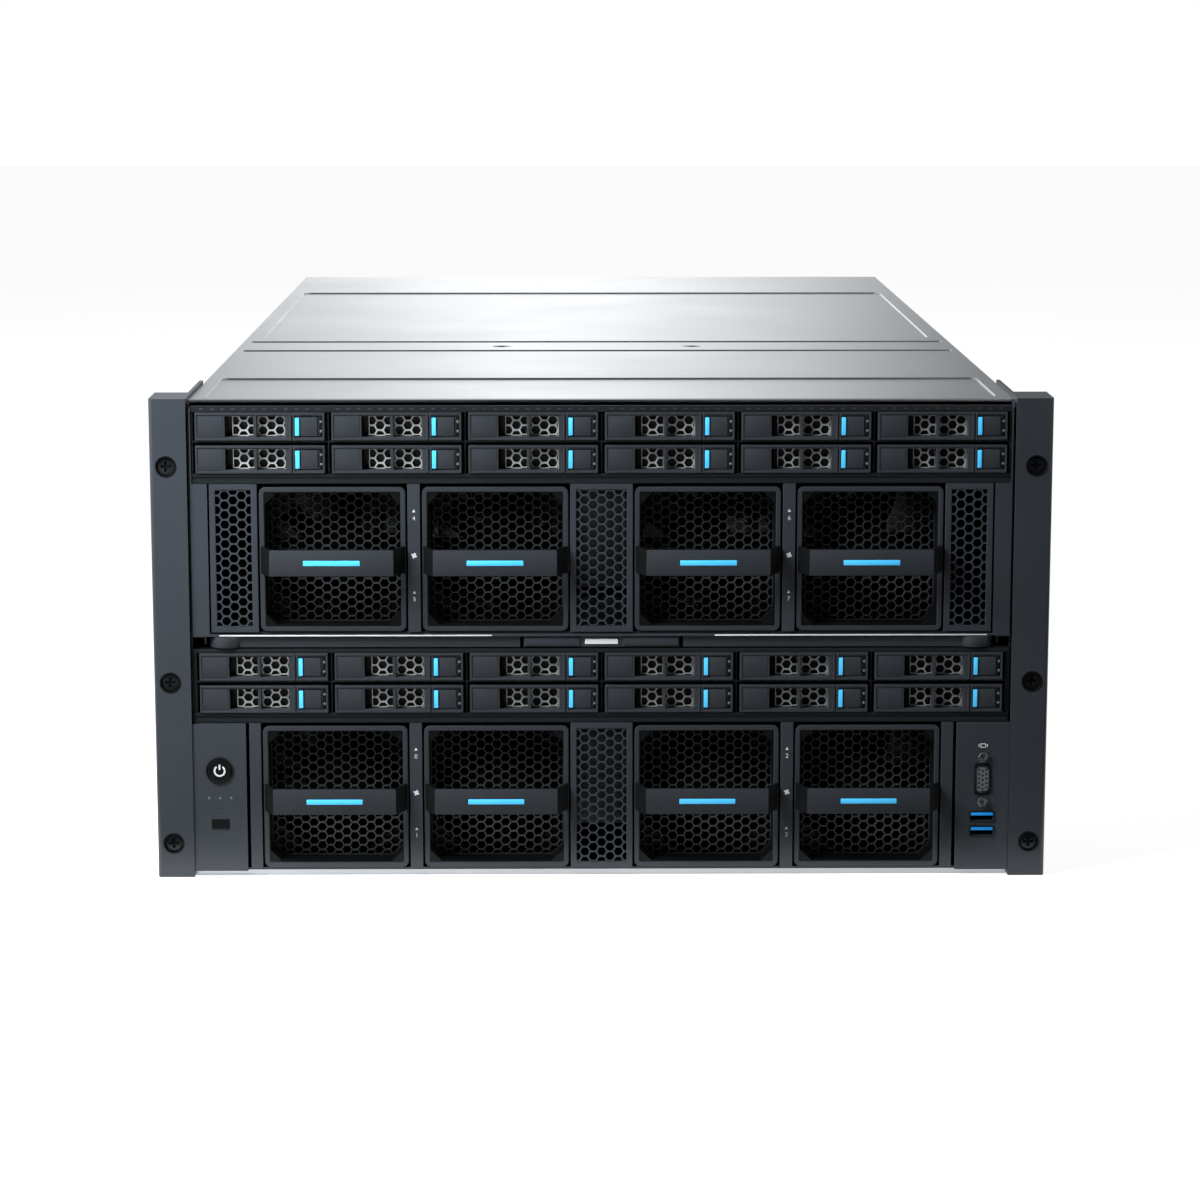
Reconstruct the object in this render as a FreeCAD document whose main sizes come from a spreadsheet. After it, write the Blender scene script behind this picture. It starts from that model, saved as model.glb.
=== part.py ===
import FreeCAD, Part
import math
import os
import re
import Sketcher
from FreeCAD import Vector

# Rack server, six rack units high: two stacked compute modules, each with twelve drives above four fans.
# X runs to the right, Y to the back and Z up, in millimetres. The origin is in the middle of the footprint,
# on the surface that the server stands on. Depths in the sketches count from the front plane of the ears,
# and heights in a module count from the module's own zero.

COLUMNS = 6
ROWS = 2
BLADES = 5
BORE_SIDES = 16
SHAFT_SIDES = 8
STATOR_SIDES = 8
HEAD_SIDES = 12
CUP_SIDES = 16
NECK_SIDES = 8
JACK_SIDES = 6
DIMPLE_SIDES = 16
FINS = 5
MEMORY_STICKS = 3
EXPANSION_SLOTS = 14
SUPPLIES = 3
TINY = 1e-6
ALMOST_ONE = 0.999

DIMS = {
    # disk drives
    "disk_width": 69.85,
    "disk_length": 100,
    "disk_set": 12,
    "drive_height": 15,
    "disk_margin": 0.3,
    "rail": 0.75,
    "bezel_front": 2,
    "bezel_inset": 1,
    "bezel_rim": 1.9,
    "mesh_plate": 1,
    "grip_width": 16.1,
    "window_width": 15.2,
    "window_bar": 1.7,
    "latch_width": 16.2,
    "latch_margin": 1.1,
    "latch_gap": 0.2,
    "latch_set": 0.6,
    "latch_ridge": 2.2,
    "latch_depth": 6,
    # drive bays
    "side_gap": 0.275,
    "slide_gap": 0.2,
    "bay_head": 1.3,
    "divider": 1,
    "shelf": 1.2,
    # cages
    "cage_front": 4,
    "cage_tail": 10,
    "cage_wall": 1.1,
    "cage_plate": 1.1,
    "cage_roof": 1,
    "bar_height": 5.4,
    "bar_skin": 1,
    "bar_lap": 1.2,
    "groove_width": 1.6,
    "groove_depth": 0.7,
    "header_rise": 1.3,
    "header_drop": 1.2,
    "post_front": 2,
    "post_sheet": 1,
    "post_width": 6.8,
    "centre_width": 33.6,
    "window_margin": 2.2,
    # fans
    "fan_size": 78.7,
    "fan_depth": 60,
    "fan_front": 3,
    "fan_corner": 2.2,
    "fan_floor": 5,
    "fan_head": 1.7,
    "fan_gap": 0.85,
    "mouth_size": 72.4,
    "mouth_corner": 6.5,
    "mouth_depth": 18,
    "bore_radius": 37,
    "strut_width": 5,
    "strut_depth": 4,
    "strut_lap": 1,
    "motor_radius": 16,
    "shaft_radius": 2,
    "shaft_length": 30,
    "running_gap": 0.05,
    "rotor_gap": 1,
    "rotor_length": 32,
    "tip_gap": 1.4,
    "blade_sheet": 1.4,
    "blade_chord": 14,
    "blade_camber": 1.6,
    "blade_lap": 3,
    "handle_reach": 10,
    "strap_height": 14.4,
    "strap_face": 66.6,
    "strap_sheet": 1.4,
    "strap_inset": 0.4,
    # sled and ejector levers
    "tray_sheet": 1.2,
    "tray_wall": 0.8,
    "tray_gap": 0.4,
    "tray_front": 2,
    "tray_clear": 5,
    "trim_width": 9.1,
    "trim_sheet": 1.2,
    "trim_gap": 1,
    "lever_gap": 0.8,
    "lever_height": 5.9,
    "lever_play": 0.3,
    "lever_front": 4,
    "lever_depth": 5,
    "hub_radius": 9.5,
    "hub_inset": 17,
    "hub_set": 10,
    "pin_radius": 2,
    "block_width": 84,
    "block_depth": 18,
    "block_gap": 2,
    "tab_width": 18,
    "tab_height": 2.8,
    "tab_length": 9,
    "tab_reach": 0.6,
    "tab_travel": 2,
    "tab_gap": 0.3,
    # chassis
    "sheet": 1,
    "body_depth": 854,
    "tub_front": 6,
    "hem_height": 3.4,
    "hem_depth": 8,
    "ledge_width": 7.2,
    "ledge_sheet": 1.2,
    "ledge_height": 4.7,
    "head_room": 2.1,
    "slot_width": 14,
    "slot_pitch": 20.32,
    "slot_height": 112,
    "slot_low": 78,
    "slot_emboss": 0.8,
    "vent_edge": 12,
    "vent_gap": 16,
    "vent_low": 202,
    "vent_tall": 44,
    "side_vent_low": 10,
    "side_vent_tall": 54,
    "side_vent_width": 78,
    # top cover
    "lid_sheet": 1.2,
    "lid_front": 14,
    "lip_height": 2.4,
    "emboss": 0.5,
    "panel_inset": 8,
    "front_panel": 14,
    "front_panel_back": 122,
    "rib_front": 278,
    "rib_rear": 334,
    "rib_width": 3.6,
    "rib_inset": 4.5,
    "rear_panel": 360,
    "rear_panel_back": 707,
    "rear_panel_inset": 10,
    "dimple_spread": 118,
    "dimple_set": 304,
    "dimple_radius": 5.5,
    # rack ears and captive screws
    "ear_width": 19.8,
    "ear_depth": 32,
    "ear_wall": 3,
    "ear_corner": 2,
    "ear_base": 0.5,
    "ear_rise": 2,
    "ear_flange": 60,
    "ear_flange_sheet": 2,
    "hole_inset": 11.05,
    "hole_low": 19.3,
    "hole_middle": 88.9,
    "hole_upper": 117.475,
    "cup_radius": 5.25,
    "head_radius": 4.8,
    "head_depth": 4,
    "head_set": 1.2,
    "neck_radius": 2.4,
    "screw_radius": 2.9,
    "screw_gap": 0.4,
    "screw_reach": 12,
    # control and connector panels
    "panel_width": 29,
    "panel_front": 1,
    "panel_low": 3.6,
    "panel_gap": 0.3,
    "strip_width": 6.4,
    "housing_depth": 30,
    "housing_inset": 3.6,
    "power_height": 59.5,
    "power_radius": 6.5,
    "power_depth": 2.2,
    "button_gap": 0.3,
    "button_reach": 0.6,
    "square_height": 29.8,
    "square_width": 9.1,
    "square_tall": 4.7,
    "square_depth": 2.4,
    "socket_back": 18,
    "socket_board": 1.6,
    "monitor_height": 54,
    "monitor_width": 8.9,
    "monitor_tall": 17,
    "monitor_taper": 1.6,
    "jack_spread": 25,
    "jack_radius": 2.6,
    "jack_reach": 1.4,
    "usb_upper": 33.2,
    "usb_lower": 25,
    "usb_width": 13.2,
    "usb_tall": 5.7,
    "usb_wall": 0.5,
    "tongue_tall": 1.8,
    "tongue_inset": 0.6,
    # system boards
    "board_front": 150,
    "board_length": 400,
    "board_width": 400,
    "board_sheet": 2,
    "standoff_height": 8,
    "standoff_radius": 3,
    "standoff_inset": 12,
    "sink_width": 78,
    "sink_length": 108,
    "sink_height": 64,
    "sink_base": 6,
    "sink_fin": 1.2,
    "sink_spread": 190,
    "sink_set": 60,
    "sink_step": 190,
    "stick_sheet": 2.4,
    "stick_pitch": 8,
    "stick_height": 34,
    "stick_length": 133,
    "backplane_sheet": 2,
    "midplane_gap": 20,
    "midplane_sheet": 3,
    "midplane_inset": 12,
    "midplane_rise": 240,
    # power supplies
    "psu_width": 73.5,
    "psu_height": 40,
    "psu_length": 185,
    "psu_pitch": 84,
    "psu_gap": 0.3,
    "psu_reach": 18,
    "inlet_width": 27,
    "inlet_height": 19,
    "inlet_depth": 16,
    "inlet_shift": 17,
    "grip_sheet": 2.5,
    "grip_tall": 30,
    "bow_width": 13,
    "grip_shift": 20,
}

# Sizes that follow from the stack of pieces across, up and back
BAY_WIDTH = "(disk_width + 2 * rail + 2 * side_gap)"
BAY_PITCH = f"({BAY_WIDTH} + divider)"
BAY_HEIGHT = "(slide_gap + drive_height + bay_head)"
ROW_PITCH = f"({BAY_HEIGHT} + shelf)"
BAYS_HALF = f"(({COLUMNS} * {BAY_PITCH} - divider) / 2)"
CAGE_HALF = f"({BAYS_HALF} + cage_wall)"
TRAY_HALF = f"({CAGE_HALF} + tray_wall)"
INNER_HALF = f"({TRAY_HALF} + tray_gap)"
BODY_HALF = f"({INNER_HALF} + sheet)"
BAR_LOW = "(fan_floor + slide_gap + fan_size + fan_head)"
BAY_FLOOR = f"({BAR_LOW} + bar_height)"
ROOF_LOW = f"({BAY_FLOOR} + {ROWS} * {ROW_PITCH} - shelf)"
ROOF_TOP = f"({ROOF_LOW} + cage_roof)"
CAGE_LOW = "(fan_floor - cage_plate)"
TRAY_LOW = f"({CAGE_LOW} - tray_sheet)"
LEVER_TOP = f"({TRAY_LOW} - lever_play)"
LEVER_LOW = f"({LEVER_TOP} - lever_height)"
MODULE_PITCH = f"({ROOF_TOP} + lever_gap - {LEVER_LOW})"
SLED_LOW = f"({MODULE_PITCH} + {TRAY_LOW})"
LID_LOW = f"({MODULE_PITCH} + {ROOF_TOP} + head_room)"
BODY_TOP = f"({LID_LOW} + lid_sheet)"
CAGE_BACK = "(disk_set + disk_length + cage_tail)"
FAN_BACK = "(fan_front + fan_depth)"
PSU_FRONT = "(body_depth - psu_length)"
MIDPLANE = f"({PSU_FRONT} - midplane_gap)"
TRAY_BACK = f"({MIDPLANE} - tray_clear)"
FRONT_Y = "((handle_reach - body_depth - psu_reach) / 2)"
FAN_INNER = "(centre_width / 2 + fan_gap + fan_size / 2)"
FAN_STEP = "(fan_size + post_width + 2 * fan_gap)"
FAN_HEIGHT = "(fan_floor + slide_gap + fan_size / 2)"
FANS_EDGE = f"({FAN_INNER} + {FAN_STEP} + fan_size / 2 + fan_gap)"
TRIM_EDGE = f"({TRAY_HALF} - trim_width)"
PANEL_EDGE = f"({BODY_HALF} - panel_width)"
PANEL_TOP = f"({BAR_LOW} - panel_gap)"
HUB_X = f"({CAGE_HALF} - hub_inset)"
HOLE_X = f"({BODY_HALF} + hole_inset)"
HOLE_HEIGHTS = ("hole_low", "(hole_low + hole_middle)", "(hole_low + hole_middle + hole_upper)")

doc = FreeCAD.newDocument("RackServer")
sheet = doc.addObject("Spreadsheet::Sheet", "Dims")
for row, (alias, size) in enumerate(DIMS.items(), start=1):
    sheet.set(f"A{row}", alias)
    sheet.set(f"B{row}", str(size))
    sheet.setAlias(f"B{row}", alias)
doc.recompute()
nodes = []


def cells(expression):
    """Expression with each size name turned into its spreadsheet cell."""
    return re.sub(r"\b[a-z_]{3,}\b(?!\()", lambda word: f"Dims.{word.group()}", expression)


def number(expression):
    """Value of an expression of size names."""
    return float(sheet.evalExpression(cells(expression)))


def rect(x_low, y_low, x_high, y_high):
    """Corners of an upright rectangle."""
    return [(x_low, y_low), (x_high, y_low), (x_high, y_high), (x_low, y_high)]


def ring(centre, radius):
    """A round outline."""
    return {"centre": centre, "radius": radius}


def many_sided(centre, radius, sides):
    """Corners of a regular polygon, for round forms that are hidden or only seen from afar."""
    turns = [2 * math.pi * (k + 0.5) / sides for k in range(sides)]
    arms = [(math.cos(turn), math.sin(turn)) for turn in turns]
    return [(f"{centre[0]} + {radius} * ({across:.6f})", f"{centre[1]} + {radius} * ({up:.6f})")
            for across, up in arms]


def eight_sided(half, corner):
    """Square about the origin with its corners cut off."""
    short = f"({half} - {corner})"
    return [(f"-{short}", f"-{half}"), (short, f"-{half}"), (half, f"-{short}"), (half, short),
            (short, half), (f"-{short}", half), (f"-{half}", short), (f"-{half}", f"-{short}")]


def draw_polygon(sketch, corners):
    """Closed polygon in a sketch, with every corner tied to its expressions."""
    points = [Vector(number(x), number(y), 0) for x, y in corners]
    edges = [Part.LineSegment(a, b) for a, b in zip(points, points[1:] + points[:1])]
    ids = list(sketch.addGeometry(edges, False))
    ties = [Sketcher.Constraint("Coincident", a, 2, b, 1) for a, b in zip(ids, ids[1:] + ids[:1])]
    for edge, point in zip(ids, points):
        ties.append(Sketcher.Constraint("DistanceX", -1, 1, edge, 1, point.x))
        ties.append(Sketcher.Constraint("DistanceY", -1, 1, edge, 1, point.y))
    placed = list(sketch.addConstraint(ties))[len(ids):]
    for tie, value in zip(placed, [value for corner in corners for value in corner]):
        sketch.setExpression(f"Constraints[{tie}]", cells(value))


def draw_circle(sketch, centre, radius):
    """Circle in a sketch, with its centre and radius tied to their expressions."""
    middle = Vector(number(centre[0]), number(centre[1]), 0)
    edge = sketch.addGeometry(Part.Circle(middle, Vector(0, 0, 1), number(radius)), False)
    ties = [
        Sketcher.Constraint("DistanceX", -1, 1, edge, 3, middle.x),
        Sketcher.Constraint("DistanceY", -1, 1, edge, 3, middle.y),
        Sketcher.Constraint("Radius", edge, number(radius)),
    ]
    for tie, value in zip(sketch.addConstraint(ties), (*centre, radius)):
        sketch.setExpression(f"Constraints[{tie}]", cells(value))


def new_body(name):
    """Empty solid body."""
    return doc.addObject("PartDesign::Body", name)


def extrude(body, plane, start, length, loops, cut=False):
    """Pad or pocket outlines drawn on an origin plane, from start over length along the third axis."""
    faces_back = plane == "XZ"
    sketch = body.newObject("Sketcher::SketchObject", f"{body.Name}_outline")
    origin = next(item for item in body.Origin.OriginFeatures if item.Role == f"{plane}_Plane")
    sketch.AttachmentSupport = [(origin, "")]
    sketch.MapMode = "FlatFace"
    sketch.setExpression("AttachmentOffset.Base.z", cells(f"-({start})" if faces_back else start))
    for loop in loops:
        if isinstance(loop, dict):
            draw_circle(sketch, **loop)
        else:
            draw_polygon(sketch, loop)
    kind = "Pocket" if cut else "Pad"
    feature = body.newObject(f"PartDesign::{kind}", f"{body.Name}_{kind.lower()}")
    feature.Profile = sketch
    feature.setExpression("Length", cells(length))
    feature.Reversed = faces_back != cut
    return feature


def solid(name, plane, start, length, loops):
    """Body made by one pad."""
    body = new_body(name)
    extrude(body, plane, start, length, loops)
    return body


def round_edges(body, radius, along, keep=lambda edge: True):
    """Fillet the straight edges of a body that run along one axis."""
    doc.recompute()
    base = body.Tip
    names = []
    for index, edge in enumerate(base.Shape.Edges, start=1):
        run = edge.Vertexes[-1].Point - edge.Vertexes[0].Point
        if run.Length > TINY and abs(run.normalize().dot(along)) > ALMOST_ONE and keep(edge):
            names.append(f"Edge{index}")
    fillet = body.newObject("PartDesign::Fillet", f"{body.Name}_fillet")
    fillet.Base = (base, names)
    fillet.setExpression("Radius", cells(radius))


def node(label, pieces, x="0", z="0"):
    """One named piece of the server, made of its solids and set behind the plane of the ears."""
    item = doc.addObject("Part::Compound", label)
    item.Label = label
    item.Links = pieces
    for axis, value in zip("xyz", (x, FRONT_Y, z)):
        item.setExpression(f"Placement.Base.{axis}", cells(value))
    nodes.append(item)


def channel(name, x_low, x_high):
    """Folded upright post between two fans: a front face with a flange along each side."""
    front = "post_front"
    inner = "(post_front + post_sheet)"
    profile = [(x_low, front), (x_high, front), (x_high, FAN_BACK), (f"{x_high} - post_sheet", FAN_BACK),
               (f"{x_high} - post_sheet", inner), (f"{x_low} + post_sheet", inner),
               (f"{x_low} + post_sheet", FAN_BACK), (x_low, FAN_BACK)]
    return solid(name, "XY", "fan_floor", f"{BAR_LOW} - fan_floor", [profile])


def windowed(name, x_low, x_high):
    """Folded post whose front face is one window, the seat of a honeycomb insert."""
    body = channel(name, x_low, x_high)
    margin = "(post_sheet + window_margin)"
    window = rect(f"{x_low} + {margin}", f"fan_floor + {margin}",
                  f"{x_high} - {margin}", f"{BAR_LOW} - {margin}")
    extrude(body, "XZ", "post_front", "post_sheet", [window], cut=True)
    return body


def bay_x(column):
    """Middle of a drive column."""
    return f"({column - (COLUMNS - 1) / 2} * {BAY_PITCH})"


def bay_z(row):
    """Top of the plate under a drive row."""
    return f"({BAY_FLOOR} + {row} * {ROW_PITCH})"


def cage_frame(name, half):
    """Welded frame of a module: fan opening below, hollow bar, and a grid of drive bays above."""
    loops = [
        rect(f"-{half}", CAGE_LOW, half, ROOF_TOP),
        rect(f"-{BAYS_HALF}", "fan_floor", BAYS_HALF, BAR_LOW),
        rect(f"-{BAYS_HALF}", f"{BAR_LOW} + bar_skin", BAYS_HALF, f"{BAY_FLOOR} - bar_skin"),
    ]
    for column in range(COLUMNS):
        for row in range(ROWS):
            middle = bay_x(column)
            loops.append(rect(f"{middle} - {BAY_WIDTH} / 2", bay_z(row),
                              f"{middle} + {BAY_WIDTH} / 2", f"{bay_z(row)} + {BAY_HEIGHT}"))
    return solid(name, "XZ", "cage_front", f"{CAGE_BACK} - cage_front", loops)


def bar_front(name, half):
    """Front of the bar between fans and drives, with a groove along it."""
    front = "(cage_front - bar_lap)"
    middle = f"({BAR_LOW} + bar_height / 2)"
    deep = f"({front} + groove_depth)"
    profile = [(front, BAR_LOW), ("cage_front", BAR_LOW), ("cage_front", BAY_FLOOR), (front, BAY_FLOOR),
               (front, f"{middle} + groove_width / 2"), (deep, f"{middle} + groove_width / 2"),
               (deep, f"{middle} - groove_width / 2"), (front, f"{middle} - groove_width / 2")]
    return solid(name, "YZ", f"-{half}", f"2 * {half}", [profile])


def header(name, half, rise):
    """Strip above the drives, in front of the cage roof."""
    front = "(cage_front - bar_lap)"
    outline = rect(front, f"{ROOF_LOW} - header_drop", "cage_front", f"{ROOF_TOP} + {rise}")
    return solid(name, "YZ", f"-{half}", f"2 * {half}", [outline])


def fan_posts(name):
    """The two narrow posts that stand between neighbouring fans."""
    near = f"({FAN_INNER} + fan_size / 2 + fan_gap)"
    far = f"({near} + post_width)"
    return [channel(f"{name}_left", f"-{far}", f"-{near}"), channel(f"{name}_right", near, far)]


def backplane(name):
    """Circuit board that closes the drive bays at the back."""
    return solid(name, "XZ", CAGE_BACK, "backplane_sheet",
                 [rect(f"-{BAYS_HALF}", BAY_FLOOR, BAYS_HALF, ROOF_LOW)])


# Disk drive: carrier with bezel, the disk between its rails, and the latch with its ridge
BEZEL_HALF = "(disk_width / 2 + rail - bezel_inset)"
DRIVE_LOW = "slide_gap"
DRIVE_TOP = "(slide_gap + drive_height)"
MESH_FRONT = "(disk_set - mesh_plate)"
DISK_BACK = "(disk_set + disk_length)"
RAIL_OUT = "(disk_width / 2 + rail)"
WINDOW_ONE = f"(grip_width - {BEZEL_HALF})"
WINDOW_TWO = f"({WINDOW_ONE} + window_width + window_bar)"
LATCH_RIGHT = f"({BEZEL_HALF} - latch_margin)"
LATCH_LEFT = f"({LATCH_RIGHT} - latch_width)"
OPENING_LOW = f"({DRIVE_LOW} + bezel_rim)"
OPENING_TOP = f"({DRIVE_TOP} - bezel_rim)"

carrier = new_body("carrier")
extrude(carrier, "XZ", "bezel_front", f"{MESH_FRONT} - bezel_front", [
    rect(f"-{BEZEL_HALF}", DRIVE_LOW, BEZEL_HALF, DRIVE_TOP),
    rect(WINDOW_ONE, OPENING_LOW, f"{WINDOW_ONE} + window_width", OPENING_TOP),
    rect(WINDOW_TWO, OPENING_LOW, f"{WINDOW_TWO} + window_width", OPENING_TOP),
    rect(LATCH_LEFT, OPENING_LOW, LATCH_RIGHT, OPENING_TOP),
])
extrude(carrier, "XY", DRIVE_LOW, "drive_height", [[
    (f"-{RAIL_OUT}", MESH_FRONT), (RAIL_OUT, MESH_FRONT), (RAIL_OUT, DISK_BACK),
    ("disk_width / 2", DISK_BACK), ("disk_width / 2", "disk_set"),
    ("-disk_width / 2", "disk_set"), ("-disk_width / 2", DISK_BACK), (f"-{RAIL_OUT}", DISK_BACK),
]])
disk = solid("disk", "XY", f"{DRIVE_LOW} + disk_margin", "drive_height - 2 * disk_margin",
             [rect("-disk_width / 2", "disk_set", "disk_width / 2", DISK_BACK)])
latch_face = "(bezel_front + latch_set)"
latch_back = f"({latch_face} + latch_depth)"
latch_start, latch_end = f"({LATCH_LEFT} + latch_gap)", f"({LATCH_RIGHT} - latch_gap)"
ridge_end = f"({latch_start} + latch_ridge)"
latch_tall = f"({OPENING_TOP} - {OPENING_LOW} - 2 * latch_gap)"
latch = solid("drive_latch", "XY", f"{OPENING_LOW} + latch_gap", latch_tall, [[
    (latch_start, "bezel_front"), (ridge_end, "bezel_front"), (ridge_end, latch_face),
    (latch_end, latch_face), (latch_end, latch_back), (latch_start, latch_back),
]])

# Fan module: square frame with an eight-sided mouth, round bore, rear struts, stator and shaft
frame = new_body("fan_frame")
half_fan = "(fan_size / 2)"
half_mouth = "(mouth_size / 2)"
extrude(frame, "XZ", "fan_front", "fan_depth", [eight_sided(half_fan, "fan_corner")])
extrude(frame, "XZ", "fan_front", "mouth_depth", [eight_sided(half_mouth, "mouth_corner")], cut=True)
extrude(frame, "XZ", "fan_front + mouth_depth", "fan_depth - mouth_depth", [
    many_sided(("0", "0"), "bore_radius", BORE_SIDES)], cut=True)
strut_front = f"{FAN_BACK} - strut_depth"
strut_end, half_strut = "(bore_radius + strut_lap)", "(strut_width / 2)"
for strut in (rect(f"-{strut_end}", f"-{half_strut}", strut_end, half_strut),
              rect(f"-{half_strut}", f"-{strut_end}", half_strut, strut_end)):
    extrude(frame, "XZ", strut_front, "strut_depth", [strut])
extrude(frame, "XZ", strut_front, "strut_depth", [many_sided(("0", "0"), "motor_radius", STATOR_SIDES)])
extrude(frame, "XZ", f"{strut_front} - shaft_length", "shaft_length",
        [many_sided(("0", "0"), "shaft_radius", SHAFT_SIDES)])

strap_foot = "(fan_size / 2 - strap_inset)"
strap_front = "(-handle_reach)"
strap_inner = "(strap_face / 2 - strap_sheet / 2)"
strap = solid("fan_strap", "XY", "-strap_height / 2", "strap_height", [[
    (f"-{strap_foot}", "fan_front"), ("-strap_face / 2", strap_front), ("strap_face / 2", strap_front),
    (strap_foot, "fan_front"), (f"{strap_foot} - strap_sheet", "fan_front"),
    (strap_inner, f"{strap_front} + strap_sheet"), (f"-{strap_inner}", f"{strap_front} + strap_sheet"),
    (f"-({strap_foot} - strap_sheet)", "fan_front"),
]])

# Rotor: hub on the stator's shaft, with cambered blades set round it
rotor = new_body("fan_rotor")
rotor_back = f"({strut_front} - rotor_gap)"
rotor_front = f"({rotor_back} - rotor_length)"
chord_back = f"({rotor_back} - rotor_length / 2 + blade_chord / 2)"
chord_front = f"({chord_back} - blade_chord)"
blade_tip = "sqrt((bore_radius - tip_gap)^2 - (blade_chord / 2 + blade_sheet)^2)"
blade_root = "(motor_radius - blade_lap)"
extrude(rotor, "XZ", rotor_front, "rotor_length", [many_sided(("0", "0"), "motor_radius", 2 * BLADES)])
rise = "blade_chord / 2"
bend = f"({chord_front} + blade_chord / 2)"
extrude(rotor, "YZ", blade_root, f"{blade_tip} - {blade_root}", [[
    (chord_front, f"-{rise}"), (f"{chord_front} + blade_sheet", f"-{rise}"),
    (f"{bend} + blade_sheet", "-blade_camber"), (chord_back, f"{rise} - blade_sheet"), (chord_back, rise),
    (bend, "-blade_camber + blade_sheet / 2"),
]])
blade = rotor.Tip
polar = rotor.newObject("PartDesign::PolarPattern", "fan_rotor_blades")
polar.Originals = [blade]
polar.Axis = (next(item for item in rotor.Origin.OriginFeatures if item.Role == "Y_Axis"), [""])
polar.Angle = 360
polar.Occurrences = BLADES
rotor.Tip = polar
doc.recompute()
shaft_bore = ring(("0", "0"), "shaft_radius + running_gap")
bore_run = "shaft_length + rotor_gap"
extrude(rotor, "XZ", f"{strut_front} - ({bore_run})", bore_run, [shaft_bore], cut=True)

# Cages of the two modules
lower_frame = cage_frame("lower_frame", INNER_HALF)
foot_start = "(tub_front + hem_depth + slide_gap)"
foot_run = f"{CAGE_BACK} - {foot_start}"
left_foot = rect(f"-{INNER_HALF}", "sheet", f"-{BAYS_HALF}", CAGE_LOW)
right_foot = rect(BAYS_HALF, "sheet", INNER_HALF, CAGE_LOW)
half_centre = "(centre_width / 2)"
lower_pieces = [
    lower_frame,
    solid("lower_foot_left", "XZ", foot_start, foot_run, [left_foot]),
    solid("lower_foot_right", "XZ", foot_start, foot_run, [right_foot]),
    bar_front("lower_bar", INNER_HALF),
    header("lower_header", INNER_HALF, "0"),
    *fan_posts("lower_post"),
    channel("lower_strip_left", f"-({FANS_EDGE} + strip_width)", f"-{FANS_EDGE}"),
    channel("lower_strip_right", FANS_EDGE, f"({FANS_EDGE} + strip_width)"),
    windowed("lower_centre", f"-{half_centre}", half_centre),
]
node("lower_cage", lower_pieces)

strip_edge = f"({TRIM_EDGE} - trim_gap)"
upper_pieces = [
    cage_frame("upper_frame", CAGE_HALF),
    bar_front("upper_bar", CAGE_HALF),
    header("upper_header", CAGE_HALF, "header_rise"),
    *fan_posts("upper_post"),
    windowed("upper_side_left", f"-{strip_edge}", f"-{FANS_EDGE}"),
    windowed("upper_centre", f"-{half_centre}", half_centre),
    windowed("upper_side_right", FANS_EDGE, strip_edge),
]
node("upper_cage", upper_pieces, z=MODULE_PITCH)

# Sled of the upper module: floor and side walls, front trim, lever pins and the latch block
tray = new_body("tray")
extrude(tray, "XZ", "tray_front", f"{TRAY_BACK} - tray_front", [[
    (f"-{TRAY_HALF}", TRAY_LOW), (TRAY_HALF, TRAY_LOW), (TRAY_HALF, ROOF_TOP), (CAGE_HALF, ROOF_TOP),
    (CAGE_HALF, CAGE_LOW), (f"-{CAGE_HALF}", CAGE_LOW), (f"-{CAGE_HALF}", ROOF_TOP),
    (f"-{TRAY_HALF}", ROOF_TOP),
]])
extrude(tray, "XZ", "tray_front", "trim_sheet", [rect(f"-{TRAY_HALF}", TRAY_LOW, f"-{TRIM_EDGE}", BAR_LOW)])
extrude(tray, "XZ", "tray_front", "trim_sheet", [rect(TRIM_EDGE, TRAY_LOW, TRAY_HALF, BAR_LOW)])
for side in ("-", ""):
    pin = ring((f"{side}{HUB_X}", "hub_set"), "pin_radius")
    extrude(tray, "XY", LEVER_LOW, f"{CAGE_LOW} - {LEVER_LOW}", [pin])

block = solid("latch_block", "XZ", "lever_front", "block_depth",
              [rect("-block_width / 2", LEVER_LOW, "block_width / 2", TRAY_LOW)])
tab_z = f"({LEVER_LOW} + lever_height / 2)"
half_tab, tab_rise = "(tab_width / 2)", "(tab_height / 2)"
tab_slot = rect(f"-{half_tab} - tab_gap", f"{tab_z} - {tab_rise} - tab_gap",
                f"{half_tab} + tab_gap", f"{tab_z} + {tab_rise} + tab_gap")
extrude(block, "XZ", "lever_front", "tab_length + tab_travel", [tab_slot], cut=True)
node("upper_tray", [tray, block], z=MODULE_PITCH)
tab = solid("tab", "XZ", "lever_front - tab_reach", "tab_length",
            [rect(f"-{half_tab}", f"{tab_z} - {tab_rise}", half_tab, f"{tab_z} + {tab_rise}")])
node("lever_latch", [tab], z=MODULE_PITCH)


def lever(name, side):
    """Ejector lever: a round hub on its pin and an arm along the front of the sled."""
    body = new_body(f"{name}_body")
    hub = (f"{side}{HUB_X}", "hub_set")
    tip = f"({side}(block_width / 2 + block_gap))"
    extrude(body, "XY", LEVER_LOW, "lever_height", [ring(hub, "hub_radius")])
    arm = [(hub[0], "lever_front"), (tip, "lever_front"), (tip, "lever_front + lever_depth"),
           (f"{side}({HUB_X} - hub_radius)", "lever_front + lever_depth"), (hub[0], "hub_set + pin_radius")]
    extrude(body, "XY", LEVER_LOW, "lever_height", [arm if side else arm[::-1]])
    extrude(body, "XY", LEVER_LOW, "lever_height", [ring(hub, "pin_radius + running_gap")], cut=True)
    node(name, [body], z=MODULE_PITCH)


lever("lever_left", "-")
lever("lever_right", "")

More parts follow.
